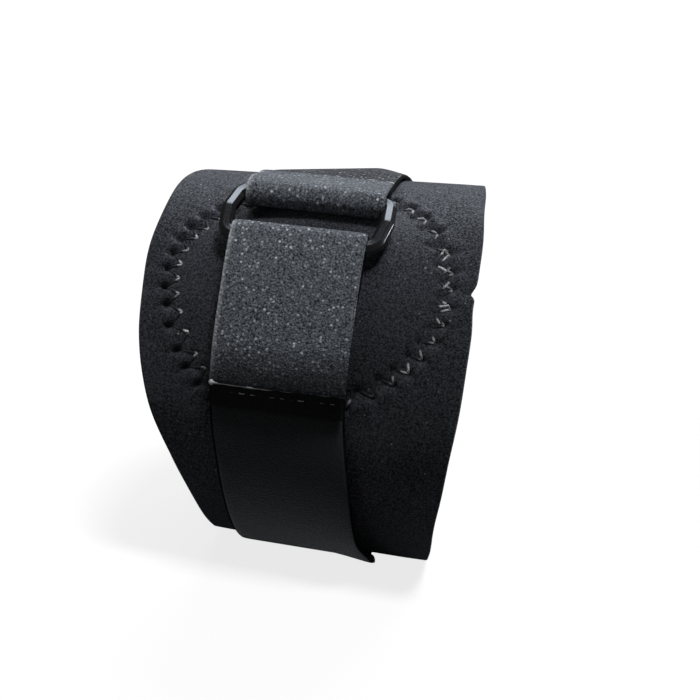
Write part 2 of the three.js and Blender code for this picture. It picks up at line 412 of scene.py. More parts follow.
class FineKnit(Effect):
    """Jersey facing: rounded wales crossed by slanted stitch legs."""

    name = "fine_knit"
    inputs = (("Cloth", "Vector"), ("Wale", "Float"), ("Course", "Float"))
    outputs = ("Height",)
    leg = 0.35
    lean = 2.0

    def wire(self, graph: Graph, entry: bpy.types.Node) -> Sockets:
        """Height = w (1 - leg + leg sin(2 pi v / course + lean w)), where w = |sin(pi u / wale)|.

        Args:
            graph: graph of the group.
            entry: the group's input node.

        Returns:
            The height of the knit.
        """
        split = graph.add("SeparateXYZ", {0: entry.outputs["Cloth"]})
        u = graph.math("DIVIDE", split.outputs[0], entry.outputs["Wale"])
        v = graph.math("DIVIDE", split.outputs[1], entry.outputs["Course"])
        wale = graph.math("ABSOLUTE", graph.math("SINE", graph.math("MULTIPLY", u, np.pi)))
        turned = graph.math("MULTIPLY", wale, self.lean)
        slant = graph.math("ADD", graph.math("MULTIPLY", v, 2.0 * np.pi), turned)
        legs = graph.math("MULTIPLY_ADD", graph.math("SINE", slant), self.leg, 1.0 - self.leg)
        return {"Height": graph.math("MULTIPLY", wale, legs)}


class LoopPile(Effect):
    """Brushed loop pile: crowded round tufts over a finer fuzz."""

    name = "loop_pile"
    inputs = (("Vector", "Vector"), ("Pitch", "Float"))
    outputs = ("Height", "Tuft")
    foot = 0.75
    crown = 0.05
    fuzz_scale = 3.0
    fuzz_detail = 2.0

    def wire(self, graph: Graph, entry: bpy.types.Node) -> Sockets:
        """Tuft = 1 - distance to the nearest cell middle; height adds noise at a third of the pitch.

        Args:
            graph: graph of the group.
            entry: the group's input node.

        Returns:
            The height of the pile, and the tufts alone.
        """
        cells, place = graph.cells(entry.outputs["Vector"], entry.outputs["Pitch"])
        tuft = graph.remap(cells.outputs["Distance"], self.foot, self.crown)
        fuzz = graph.noise(place, self.fuzz_scale, self.fuzz_detail)
        return {"Height": graph.math("ADD", tuft, fuzz), "Tuft": tuft}


class SoftMottle(Effect):
    """Uneven tone: broad and fine noise together, as lint, dust and handling leave it."""

    name = "soft_mottle"
    inputs = (("Vector", "Vector"), ("Broad", "Float"), ("Fine", "Float"))
    outputs = ("Broad", "Fine")
    broad_noise = (3.0, 0.55)
    fine_noise = (2.0, 0.7)
    contrast = (0.3, 0.7)

    def wire(self, graph: Graph, entry: bpy.types.Node) -> Sockets:
        """Two fractal noises whose features measure the sizes given.

        Args:
            graph: graph of the group.
            entry: the group's input node.

        Returns:
            Both noises, spread over 0..1.
        """
        sockets = {}
        for label, (detail, roughness) in zip(self.outputs, (self.broad_noise, self.fine_noise)):
            scale = graph.math("DIVIDE", 1.0, entry.outputs[label])
            noise = graph.noise(entry.outputs["Vector"], scale, detail, roughness)
            sockets[label] = graph.remap(noise, *self.contrast)
        return sockets


FLECKS = FibreFlecks()
KNIT = FineKnit()
PILE = LoopPile()
MOTTLE = SoftMottle()


@dataclass(frozen=True)
class Specks:
    """Measures of flecks: their pitch, the share of cells that are lit, and their size in pitches."""

    pitch: float
    share: float
    size: float

    def mask(self, graph: Graph, vector: Socket) -> Socket:
        """The shared fleck effect at these measures."""
        inputs = {"Vector": vector, "Pitch": self.pitch, "Share": self.share, "Size": self.size}
        return graph.effect(FLECKS, inputs).outputs["Mask"]


@dataclass(frozen=True)
class Finish:
    """A surface finish: tones, gloss, relief and the sizes of its mottle, and a material of them."""

    name: str
    dark: Colour
    light: Colour
    roughness: float
    relief: float
    sheen: float = 0.0
    specular: float = 0.5
    broad: float = 5.0
    fine: float = 0.25
    swing: tuple[float, float] = (0.03, -0.02)

    def material(self) -> bpy.types.Material:
        """Builds the material: wire() feeds a Principled shader, with its height as a bump.

        Returns:
            The material.
        """
        material = bpy.data.materials.new(self.name)
        material.use_nodes = True
        graph = Graph(material.node_tree)
        shader = material.node_tree.nodes["Principled BSDF"]
        shader.inputs["Sheen Weight"].default_value = self.sheen
        shader.inputs["Sheen Roughness"].default_value = SHEEN_ROUGHNESS
        shader.inputs["Sheen Tint"].default_value = (*SHEEN_TINT, 1.0)
        shader.inputs["Specular IOR Level"].default_value = self.specular
        shader.inputs["Coat Roughness"].default_value = COAT_ROUGHNESS
        sockets = self.wire(graph)
        bump = {"Height": sockets.pop("Height"), "Distance": self.relief * MM, "Strength": 1.0}
        sockets["Normal"] = graph.add("Bump", bump).outputs[0]
        for label, socket in sockets.items():
            graph.tree.links.new(socket, shader.inputs[label])
        return material

    def wire(self, graph: Graph) -> Sockets:
        """Adds the finish's nodes.

        Args:
            graph: graph of the material.

        Returns:
            Sockets by the shader's input names, and the height of the bump.
        """
        raise NotImplementedError

    def whole(self, graph: Graph) -> Socket:
        """Object coordinates in millimetres."""
        return graph.scaled(graph.add("TexCoord").outputs["Object"], 1.0 / MM)

    def cloth(self, graph: Graph) -> Socket:
        """Cloth coordinates in millimetres."""
        return graph.scaled(graph.add("UVMap", uv_map=CLOTH_MAP).outputs[0], 1.0 / MM)

    def mottle(self, graph: Graph, whole: Socket) -> tuple[Socket, Socket]:
        """Broad and fine mottle of this finish's sizes."""
        node = graph.effect(MOTTLE, {"Vector": whole, "Broad": self.broad, "Fine": self.fine})
        return node.outputs["Broad"], node.outputs["Fine"]

    def uneven(self, graph: Graph, mask: Socket) -> Socket:
        """Roughness moved by the first swing where the mask is 0 and by the second where it is 1."""
        start, end = (self.roughness + change for change in self.swing)
        return graph.remap(mask, 0.0, 1.0, start, end)


@dataclass(frozen=True)
class NeopreneFinish(Finish):
    """Black neoprene with a fine knit facing whose fibres glint, and a little lint."""

    broad: float = 14.0
    fine: float = 0.52
    swing: tuple[float, float] = (-0.06, 0.04)
    patches: float = 0.15
    wale: float = 0.4
    course: float = 0.34
    loops: float = 0.3
    coat: float = 0.9
    coat_start: float = 0.2
    specks: Specks = Specks(1.7, 0.12, 0.24)
    lint: Colour = (0.4, 0.42, 0.46)

    def wire(self, graph: Graph) -> Sockets:
        """Fine grain between the two tones, lint on top, and the grain over a faint knit as height.

        Args:
            graph: graph of the material.

        Returns:
            Colour, roughness, height and coat.
        """
        whole = self.whole(graph)
        broad, fine = self.mottle(graph, whole)
        knit_in = {"Cloth": self.cloth(graph), "Wale": self.wale, "Course": self.course}
        knit = graph.effect(KNIT, knit_in).outputs["Height"]
        grain = graph.mixed(graph.blend(fine, broad, self.patches), self.dark, self.light)
        return {
            "Base Color": graph.mixed(self.specks.mask(graph, whole), grain, self.lint),
            "Roughness": self.uneven(graph, broad),
            "Height": graph.math("ADD", graph.math("MULTIPLY", knit, self.loops), fine),
            "Coat Weight": graph.remap(fine, self.coat_start, 1.0, 0.0, self.coat),
        }


@dataclass(frozen=True)
class PlushFinish(Finish):
    """Brushed loop face of webbing, with painted shade between its tufts, fibre-end flecks lightened as
    painted glints, a painted highlight along one selvedge and painted shade at a free end.
    """

    broad: float = 9.0
    fine: float = 0.55
    swing: tuple[float, float] = (-0.08, 0.05)
    pile_pitch: float = 0.62
    tufts: float = 0.4
    coat: float = 0.8
    coat_grain: float = 0.5
    # Flecks of fibre ends, whose light colour is a painted glint.
    small: Specks = Specks(0.8, 0.4, 0.5)
    small_light: float = 0.28
    large: Specks = Specks(1.15, 0.4, 0.46)
    fleck: Colour = (0.9, 0.95, 1.0)
    # Strength of the painted highlight along the selvedge.
    edge_highlight: float = 0.35
    # Strength of the painted shade at the free end.
    end_shade: float = 0.75

    def wire(self, graph: Graph) -> Sockets:
        """Tufts and grain in two tones, darker between the tufts as painted shade, and flecks of two sizes
        lightened as painted glints.

        Where the attribute edge is 1 the colour is lightened as a painted highlight, and where the
        attribute pressed is 1 it is darkened and dulled as painted shade.

        Args:
            graph: graph of the material.

        Returns:
            Colour, roughness, height and coat.
        """
        cloth = self.cloth(graph)
        _, fine = self.mottle(graph, self.whole(graph))
        pile = graph.effect(PILE, {"Vector": cloth, "Pitch": self.pile_pitch})
        # Flecks of fibre ends, lightened as painted glints.
        soft = graph.math("MULTIPLY", self.small.mask(graph, cloth), self.small_light)
        flecks = graph.math("MAXIMUM", soft, self.large.mask(graph, cloth))
        # Painted highlight along the selvedge, where the attribute edge is 1.
        edge_highlight = graph.math("MULTIPLY", graph.painted("edge"), graph.math("ADD", fine, self.edge_highlight))
        # Darker between the tufts: painted shade.
        plush = graph.mixed(graph.blend(fine, pile.outputs["Tuft"], self.tufts), self.dark, self.light)
        unshaded_colour = graph.mixed(graph.math("MAXIMUM", flecks, edge_highlight), plush, self.fleck)
        # Painted shade: darker and duller towards the free end, where the attribute pressed is 1.
        lying = graph.math("MULTIPLY", graph.painted("pressed"), self.end_shade)
        glints = graph.math("MAXIMUM", flecks, graph.math("MULTIPLY", fine, self.coat_grain))
        return {
            "Base Color": graph.mixed(lying, unshaded_colour, self.dark),
            "Roughness": self.uneven(graph, fine),
            "Height": pile.outputs["Height"],
            "Coat Weight": graph.math("MULTIPLY", glints, graph.remap(lying, 0.0, 1.0, self.coat, 0.0)),
        }


@dataclass(frozen=True)
class PlainFinish(Finish):
    """Plain surface with a faint grain, whose tone follows one mottle: plastic, melt or short nap."""

    tone: Grain = Grain.BROAD

    def wire(self, graph: Graph) -> Sockets:
        """Tone follows the chosen mottle, gloss the broad one and height the fine one.

        Args:
            graph: graph of the material.

        Returns:
            Colour, roughness and height.
        """
        broad, fine = self.mottle(graph, self.whole(graph))
        colour = graph.mixed(fine if self.tone is Grain.FINE else broad, self.dark, self.light)
        return {"Base Color": colour, "Roughness": self.uneven(graph, broad), "Height": fine}


@dataclass(frozen=True)
class HookFinish(Finish):
    """Woven back of hook tape, with close ribs along its length."""

    broad: float = 6.0
    fine: float = 0.6
    swing: tuple[float, float] = (-0.1, 0.0)
    rib: float = 0.75
    pick: float = 0.45

    def wire(self, graph: Graph) -> Sockets:
        """Ribs and picks as a fine knit of their pitches, with painted shade in the furrows.

        Args:
            graph: graph of the material.

        Returns:
            Colour, roughness and height.
        """
        _, fine = self.mottle(graph, self.whole(graph))
        weave_in = {"Cloth": self.cloth(graph), "Wale": self.rib, "Course": self.pick}
        weave = graph.effect(KNIT, weave_in).outputs["Height"]
        # Painted shade: darker in the furrows between the ribs.
        colour = graph.mixed(graph.math("MULTIPLY", weave, fine), self.dark, self.light)
        return {"Base Color": colour, "Roughness": self.uneven(graph, fine), "Height": weave}


@dataclass(frozen=True)
class ThreadFinish(Finish):
    """Black thread of twisted plies, lightened by a painted highlight where its highlight attribute is 1.
    """

    broad: float = 4.0
    fine: float = 0.3
    swing: tuple[float, float] = (-0.08, 0.1)
    ply: float = 0.45

    def wire(self, graph: Graph) -> Sockets:
        """Plies as ridges slanted round the thread, with an uneven sheen.

        Args:
            graph: graph of the material.

        Returns:
            Colour, roughness and height.
        """
        split = graph.add("SeparateXYZ", {0: self.cloth(graph)})
        slant = graph.math("ADD", split.outputs[0], split.outputs[1])
        ridge = graph.math("SINE", graph.math("MULTIPLY", slant, 2.0 * np.pi / self.ply))
        _, fine = self.mottle(graph, self.whole(graph))
        # The light tone is a painted highlight on the black thread.
        colour = graph.mixed(graph.painted("painted_highlight"), self.dark, self.light)
        return {"Base Color": colour, "Roughness": self.uneven(graph, fine), "Height": ridge}


NEOPRENE = NeopreneFinish(
    "black_neoprene",
    dark=(0.0025, 0.0026, 0.0031),
    light=(0.07, 0.0745, 0.089),
    roughness=0.92,
    relief=0.1,
    sheen=0.2,
    specular=0.1,
)
PAD_CLOTH = NeopreneFinish(
    "pad_jersey",
    dark=(0.012, 0.012, 0.014),
    light=(0.045, 0.045, 0.05),
    roughness=0.9,
    relief=0.07,
    sheen=0.05,
    specular=0.25,
)
PLUSH = PlushFinish(
    "plush_webbing",
    dark=(0.012, 0.0127, 0.0147),
    light=(0.272, 0.3, 0.343),
    roughness=0.9,
    relief=0.14,
    sheen=0.06,
    specular=0.1,
)
# The ring tab's outer face: a darker copy of the plush, as painted shade.
SHADED_LOOPS = PlushFinish(
    "loop_webbing_painted_shade",
    dark=(0.007, 0.0074, 0.0086),
    light=(0.14, 0.148, 0.16),
    roughness=0.9,
    relief=0.2,
    sheen=0.02,
    specular=0.1,
    coat=0.5,
    fleck=(0.6, 0.62, 0.65),
)
# The strap's outer face: its smooth nap and sheen are the webbing's own, but its tone, far darker than the
# plush face of the same webbing, is painted shade.
SHADED_VELVET = PlainFinish(
    "velvet_webbing_painted_shade",
    dark=(0.003, 0.003, 0.003),
    light=(0.008, 0.0084, 0.0086),
    roughness=0.9,
    relief=0.09,
    sheen=1.0,
    specular=0.1,
    broad=12.0,
    fine=0.5,
    swing=(-0.05, 0.05),
    tone=Grain.FINE,
)
SELVEDGE = PlainFinish(
    "woven_selvedge",
    dark=(0.004, 0.004, 0.0045),
    light=(0.01, 0.01, 0.011),
    roughness=0.9,
    relief=0.02,
    specular=0.1,
)
MOULDED = PlainFinish(
    "satin_moulding",
    dark=(0.012, 0.012, 0.013),
    light=(0.022, 0.022, 0.024),
    roughness=0.26,
    relief=0.002,
    specular=1.0,
)
HOOK_BACK = HookFinish(
    "hook_tape_back",
    dark=(0.006, 0.006, 0.007),
    light=(0.022, 0.022, 0.025),
    roughness=0.8,
    relief=0.12,
    specular=0.35,
)
# The light tone is a painted highlight; the thread itself is black.
THREAD = ThreadFinish(
    "black_thread",
    dark=(0.025, 0.026, 0.029),
    light=(0.8, 0.83, 0.86),
    roughness=0.35,
    relief=0.03,
)
# The melted ends are real beads; their pale colour on black webbing is a painted highlight.
SEALED_HIGHLIGHT = PlainFinish(
    "melted_edge_painted_highlight",
    dark=(0.38, 0.38, 0.4),
    light=(0.7, 0.7, 0.73),
    roughness=0.35,
    relief=0.02,
    specular=0.8,
)


@dataclass(frozen=True)
class GirthRow:
    """One place round the sleeve: x of its left edge, its right edge and the strap's middle line."""

    angle: float
    left: float
    right: float
    strap: float


GIRTH = (
    GirthRow(-90.0, -26.5, 33.0, 0.0),
    GirthRow(-62.0, -28.9, 32.9, -2.3),
    GirthRow(-42.0, -33.3, 32.6, -6.0),
    GirthRow(-20.0, -41.4, 32.6, -10.5),
    GirthRow(0.0, -50.5, 33.2, -14.6),
    GirthRow(20.0, -54.9, 33.7, -16.3),
    GirthRow(40.0, -56.1, 33.1, -16.2),
    GirthRow(62.0, -54.8, 32.8, -14.9),
    GirthRow(82.0, -52.2, 32.5, -12.3),
    GirthRow(96.0, -48.8, 32.4, -10.2),
    GirthRow(125.0, -38.0, 32.7, -6.0),
    GirthRow(160.0, -30.0, 33.0, -2.0),
    GirthRow(210.0, -27.0, 33.0, 0.5),
)


@dataclass(frozen=True)
class PadOutline:
    """Oval of the pressure pad: a superellipse laid on the sleeve."""

    angle: float = 40.6
    x: float = -11.2
    half_round: float = 33.0
    half_along: float = 36.6
    turn: float = -26.0
    power: float = 2.3
    rise: float = 3.0
    inward: float = 2.4
    rim: float = 0.5
    radius: float = 49.7
    samples: int = 4001

    @property
    def halves(self) -> Array:
        """Half sizes along and round the sleeve."""
        return np.array([self.half_along, self.half_round])

    @property
    def spin(self) -> Array:
        """Rotation from the sleeve's directions to the oval's own."""
        turn = np.radians(self.turn)
        return np.array([[np.cos(turn), -np.sin(turn)], [np.sin(turn), np.cos(turn)]])

    def local(self, angle: Array, x: Array) -> Array:
        """Flat place on the oval: x and arc length from its middle, turned to its own directions."""
        apart = np.radians(np.mod(angle - self.angle + 180.0, 360.0) - 180.0)
        return np.stack(np.broadcast_arrays(x - self.x, apart * self.radius), -1) @ self.spin.T

    def on_sleeve(self, place: Array) -> tuple[Array, Array]:
        """Angle and x of a flat place on the oval."""
        flat = place @ self.spin
        return self.angle + np.degrees(flat[..., 1] / self.radius), self.x + flat[..., 0]

    def reach(self, place: Array) -> Array:
        """0 at the middle and 1 on the outline: the power mean of both shares of the half sizes."""
        return np.sum(np.abs(place / self.halves) ** self.power, -1) ** (1.0 / self.power)

    def rise_at(self, angle: Array, x: Array) -> Array:
        """Outward bulge of the sleeve over the pad."""
        return self.rise * smooth_rise((1.0 - self.reach(self.local(angle, x))) / self.rim)

    def curve(self, bearing: Array) -> Array:
        """Outline at a bearing in radians: half size times the signed 2/power of cosine and sine."""
        round_trip = np.stack([np.cos(bearing), np.sin(bearing)], -1)
        return np.sign(round_trip) * np.abs(round_trip) ** (2.0 / self.power) * self.halves

    def across(self, place: Array) -> Array:
        """Direction out of the outline at a place: the gradient of the reach."""
        share = np.abs(place / self.halves) ** (self.power - 1.0)
        return np.sign(place) * share / self.halves * self.reach(place)[..., None] ** (1.0 - self.power)

    def off_line(self, place: Array) -> Array:
        """Distance out of the outline, to first order: reach less 1 over the reach's gradient."""
        return (self.reach(place) - 1.0) / np.linalg.norm(self.across(place), axis=-1)

    def runs(self) -> tuple[Array, Array]:
        """Bearings once round the outline, and the length run along it up to each."""
        bearing = np.linspace(0.0, 2.0 * np.pi, self.samples)
        return bearing, run_length(self.curve(bearing))


@dataclass(frozen=True)
class SleeveForm:
    """The sleeve's shape, which every other piece lies on."""

    half_height: float = 52.9
    taper: float = 0.05
    depth_ratio: float = 0.9
    sag: float = 4.2
    sag_round: float = 1.6
    wall: float = 3.4
    webbing: float = 1.5
    hook_tape: float = 1.2
    seat_gap: float = 0.4
    ply_gap: float = 0.3
    slope_step: float = 0.05
    pad: PadOutline = PadOutline()

    @property
    def first_ply(self) -> float:
        """Middle height of webbing that lies on the sleeve."""
        return self.seat_gap + self.webbing / 2.0

    @property
    def second_ply(self) -> float:
        """Middle height of webbing that lies on webbing."""
        return self.first_ply + self.webbing + self.ply_gap

    @property
    def hook_ply(self) -> float:
        """Middle height of the hook tab on the strap."""
        return self.seat_gap + self.webbing + self.ply_gap + self.hook_tape / 2.0

    @property
    def free_ply(self) -> float:
        """Middle height of the strap's free end on the hook tab."""
        return self.hook_ply + self.hook_tape / 2.0 + self.ply_gap + self.webbing / 2.0

    def edge(self, edge: Edge, angle: Array) -> Array:
        """One column of the girth table at any angle: a periodic cubic through its rows.

        Args:
            edge: which column.
            angle: angles round the sleeve.

        Returns:
            x at those angles, by Hermite pieces whose slopes run between the neighbouring rows.
        """
        count = len(GIRTH)
        order = np.arange(-1, count + 2)
        turns = order // count
        knots = np.array([row.angle for row in GIRTH])[order % count] + 360.0 * turns
        values = np.array([getattr(row, edge.value) for row in GIRTH])[order % count]
        wrapped = np.mod(angle - GIRTH[0].angle, 360.0) + GIRTH[0].angle
        i = np.clip(np.searchsorted(knots, wrapped, side="right") - 1, 1, count)
        width = knots[i + 1] - knots[i]
        slope = (values[i + 1] - values[i - 1]) / (knots[i + 1] - knots[i - 1])
        after = np.minimum(i + 2, count + 2)
        slope_to = (values[after] - values[i]) / (knots[after] - knots[i])
        t = (wrapped - knots[i]) / width
        u = 1.0 - t
        ends = u * u * (1.0 + 2.0 * t) * values[i] + t * t * (3.0 - 2.0 * t) * values[i + 1]
        return ends + t * u * width * (u * slope - t * slope_to)

    def section(self, angle: Array, x: Array) -> Array:
        """Outer face without the pad's bulge, as y and z.

        An upright ellipse whose half height grows with x. Its lowest part is pressed level, and a
        short parabola joins the level part to the ellipse.

        Args:
            angle: angles round the sleeve.
            x: places along it.

        Returns:
            Places of the broadcast shape x 2.
        """
        half = self.half_height + self.taper * x
        phi = np.radians(angle)
        lift = half - self.sag + half * np.sin(phi)
        soft = np.clip(lift + self.sag_round, 0.0, 2.0 * self.sag_round) ** 2 / (4.0 * self.sag_round)
        level = np.where(lift > self.sag_round, lift, soft)
        return np.stack([-self.depth_ratio * half * np.cos(phi), self.seat_gap + self.webbing + level], -1)

    def facing(self, angle: Array, x: Array) -> Array:
        """Outward direction of the section: its slope turned by a quarter turn.

        Args:
            angle: angles round the sleeve.
            x: places along it.

        Returns:
            Directions as y and z.
        """
        before, after = angle - self.slope_step, angle + self.slope_step
        along = unit(self.section(after, x) - self.section(before, x))
        return np.stack([-along[..., 1], along[..., 0]], -1)

    def above(self, angle: Array, x: Array, height: Array, bulged: bool = True) -> Array:
        """Points at a height above the outer face.

        Args:
            angle: angles round the sleeve.
            x: places along it.
            height: heights along the outward direction.
            bulged: whether the pad's bulge is added.

        Returns:
            Places of the broadcast shape x 3.
        """
        angle, x, height = np.broadcast_arrays(angle, x, height)
        total = height + (self.pad.rise_at(angle, x) if bulged else 0.0)
        flat = self.section(angle, x) + total[..., None] * self.facing(angle, x)
        return np.concatenate([x[..., None], flat], -1)

    def outward(self, angle: Array, x: Array) -> Array:
        """Outward directions as x, y and z."""
        flat = self.facing(angle, x)
        return np.concatenate([np.zeros_like(flat[..., :1]), flat], -1)


FORM = SleeveForm()


def seat(
    piece: bpy.types.Object, finish: bpy.types.Material, node: str = ""
) -> bpy.types.Object:
    """Dresses a piece and ties it to the frame.

    Args:
        piece: the new object.
        finish: its material.
        node: the solid that it stands for, or nothing.

    Returns:
        The piece.
    """
    piece.data.materials.append(finish)
    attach(piece, BODY)
    if node:
        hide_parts(node)
    LOG.info("%s: %d faces", piece.name, len(piece.data.polygons))
    return piece


@dataclass
class PadSeam:
    """Zigzag seam that holds the pad: thread legs, and the relief that they pull into the neoprene."""

    zigzags: int = 42
    inner: float = -1.9
    outer: float = 2.0
    shrink: float = 0.35
    shift: float = 0.5
    stretch: float = 0.24
    stretch_at: float = 5.0
    stretch_reach: float = 12.0
    bearing_scatter: float = 0.007
    hole_scatter: float = 0.18
    overlap_start: float = 33.0
    overlap_end: float = 60.0
    overlap_shift: float = 0.9
    overlap_along: float = 1.3
    overlap_scatter: float = 0.55
    relief_reach: float = 9.0
    band_depth: float = 0.55
    band_at: float = -0.6
    band_width: float = 2.0
    leg_depth: float = 0.3
    leg_width: float = 0.55
    hole_depth: float = 1.3
    hole_length: float = 1.25
    hole_width: float = 0.95
    hole_lean: tuple[float, float] = (0.65, 0.35)
    inner_depth: float = 0.8
    inner_width: float = 0.8
    inner_lean: tuple[float, float] = (0.6, 0.4)
    pucker_depth: float = 0.7
    pucker_width: float = 0.85
    pucker_run: float = 1.9
    pucker_start: float = 1.0
    lobe_height: float = 0.5
    lobe_at: float = 1.7
    lobe_width: float = 2.0
    thread: float = 0.36
    stations: int = 13
    sides: int = 7
    proud: float = 0.3
    buried: float = 0.75
    arch: float = 0.3
    sink: float = 0.05
    # Reach, fade and strengths of the painted highlight on the thread legs.
    shine_reach: tuple[float, float] = (0.2, 0.65)
    shine_fade: float = 0.12
    inner_shine: float = 0.6
    leg_glint: tuple[float, float] = (0.3, 1.0)
    spot_glint: tuple[float, float] = (0.4, 1.0)
    seed: int = 7

    @cached_property
    def tips(self) -> tuple[Array, Array]:
        """Flat places of the inner and outer needle holes, each a little off its even place."""
        rng = np.random.default_rng(self.seed)
        outline = FORM.pad
        bearings = self.bearings()
        bearings = bearings + rng.normal(0.0, self.bearing_scatter, bearings.shape)
        line = outline.curve(bearings)
        out = unit(outline.across(line))
        reach = np.where(np.arange(2 * self.zigzags) % 2, self.outer, self.inner)
        reach = reach - self.shrink - self.shift * (out @ outline.spin)[:, 0]
        places = line + out * (reach + rng.normal(0.0, self.hole_scatter, reach.shape))[:, None]
        return places[::2], places[1::2]

    def bearings(self) -> Array:
        """Spaces the holes in even steps along the outline, widened as a bell near one place.

        Returns:
            Bearings of all holes.
        """
        bearing, run = FORM.pad.runs()
        apart = np.mod(run - self.stretch_at + run[-1] / 2.0, run[-1]) - run[-1] / 2.0
        pace = np.cumsum(1.0 / (1.0 + self.stretch * bell(apart, self.stretch_reach)))
        share = np.linspace(0.0, 1.0, 2 * self.zigzags, endpoint=False)
        return np.interp(share, (pace - pace[0]) / (pace[-1] - pace[0]), bearing)

    def hands(self, places: Array, side: float) -> Array:
        """How far holes lie to the elbow's side of the seam, 1 to -1; side is -1 for inner holes."""
        outline = FORM.pad
        return side * (unit(outline.across(places)) @ outline.spin)[..., 0]

    @cached_property
    def legs(self) -> Array:
        """Start and end places of thread legs, inner hole first, and a second pass where they meet."""
        inner, outer = self.tips
        legs = np.concatenate([np.stack([inner, outer], 1), np.stack([np.roll(inner, -1, 0), outer], 1)])
        outline = FORM.pad
        angle, x = outline.on_sleeve(legs.mean(1))
        again = (angle > self.overlap_start) & (angle < self.overlap_end) & (x > outline.x)
        second = legs[again]
        middle = second.mean(1, keepdims=True)
        out = unit(outline.across(middle))
        along = np.stack([-out[..., 1], out[..., 0]], -1)
        moved = self.overlap_along * along - self.overlap_shift * out
        scatter = np.random.default_rng(self.seed).normal(0.0, self.overlap_scatter, second.shape)
        return np.concatenate([legs, second + moved + scatter])

    def relief(self, angle: Array, x: Array) -> Array:
        """Height that the seam adds to the neoprene.

        The band sinks as a bell of the distance from the oval. Each leg presses a furrow, a bell of
        the distance to its line. Outer holes are deep bells with a pucker that runs outwards from
        them and dies away, and the cloth between them swells into lobes.

        Args:
            angle: angles round the sleeve.
            x: places along it.

        Returns:
            Heights, negative where the cloth is pulled in.
        """
        outline = FORM.pad
        place = outline.local(angle, x)
        off = outline.off_line(place)
        height = np.zeros(off.shape)
        near = np.abs(off) < self.relief_reach
        spot, off = place[near], off[near]
        start, way = self.legs[:, 0], self.legs[:, 1] - self.legs[:, 0]
        gap = spot[:, None] - start
        share = np.clip(np.sum(gap * way, -1) / np.sum(way * way, -1), 0.0, 1.0)
        to_leg = np.linalg.norm(gap - share[..., None] * way, axis=-1).min(1)
        inner, outer = self.tips
        to_inner = np.linalg.norm(spot[:, None] - inner, axis=-1)
        shallow = self.inner_lean[0] - self.inner_lean[1] * self.hands(inner, -1.0)
        inner_hole = (shallow * bell(to_inner, self.inner_width)).max(1)
        from_outer = spot[:, None] - outer
        out = unit(outline.across(outer))
        ahead = np.sum(from_outer * out, -1)
        aside = from_outer[..., 0] * out[:, 1] - from_outer[..., 1] * out[:, 0]
        deep = self.hole_lean[0] - self.hole_lean[1] * self.hands(outer, 1.0)
        hole = (deep * bell(ahead, self.hole_length) * bell(aside, self.hole_width)).max(1)
        fading = np.exp(-np.clip(ahead, 0.0, None) / self.pucker_run)
        fading = fading * smooth_rise(ahead / self.pucker_start + 1.0)
        pucker = (bell(aside, self.pucker_width) * fading).max(1)
        lobes = bell(off - self.lobe_at, self.lobe_width) * (1.0 - pucker) * (1.0 - hole)
        height[near] = (
            self.lobe_height * lobes
            - self.band_depth * bell(off - self.band_at, self.band_width)
            - self.leg_depth * bell(to_leg, self.leg_width)
            - self.hole_depth * hole
            - self.inner_depth * inner_hole
            - self.pucker_depth * pucker
        )
        return height

    def build(self, thread: bpy.types.Material) -> bpy.types.Object:
        """Lays a thread along every leg.

        It stands proud at the hole on the elbow's side, arches over the furrow, and dives into the other
        hole.
        Near the proud end its colour is lightened as a painted highlight, of random reach and strength.

        Args:
            thread: its material.

        Returns:
            The thread.
        """
        share = np.linspace(0.0, 1.0, self.stations)
        legs = self.legs
        flat = legs[:, :1] + share[:, None] * (legs[:, 1:] - legs[:, :1])
        angle, x = FORM.pad.on_sleeve(flat)
        hands = np.stack([self.hands(legs[:, 0], -1.0), self.hands(legs[:, 1], 1.0)], 1)
        tips = np.where(hands > 0.0, self.proud, self.buried) * hands
        lift = tips[:, :1] + share * (tips[:, 1:] - tips[:, :1])
        height = self.relief(angle, x) + lift + self.arch * np.sin(np.pi * share) - self.sink
        paths = FORM.above(angle, x, height)
        shell = Shell.tubes(paths, np.array(self.thread), self.sides, FORM.outward(angle, x))
        inward = hands[:, :1] > hands[:, 1:]
        from_proud = np.where(inward, share, 1.0 - share)
        rng = np.random.default_rng(self.seed)
        # Painted highlight: lightens the colour from the proud end over a random reach and strength.
        reach = np.where(inward, self.inner_shine, 1.0) * rng.uniform(*self.shine_reach, (len(legs), 1))
        glint = rng.uniform(*self.leg_glint, reach.shape) * rng.uniform(*self.spot_glint, from_proud.shape)
        painted_highlight = glint * smooth_rise((reach - from_proud) / self.shine_fade)
        shell.values["painted_highlight"] = np.repeat(painted_highlight.ravel(), self.sides)
        return seat(shell.to_object("pad_seam_thread"), thread)


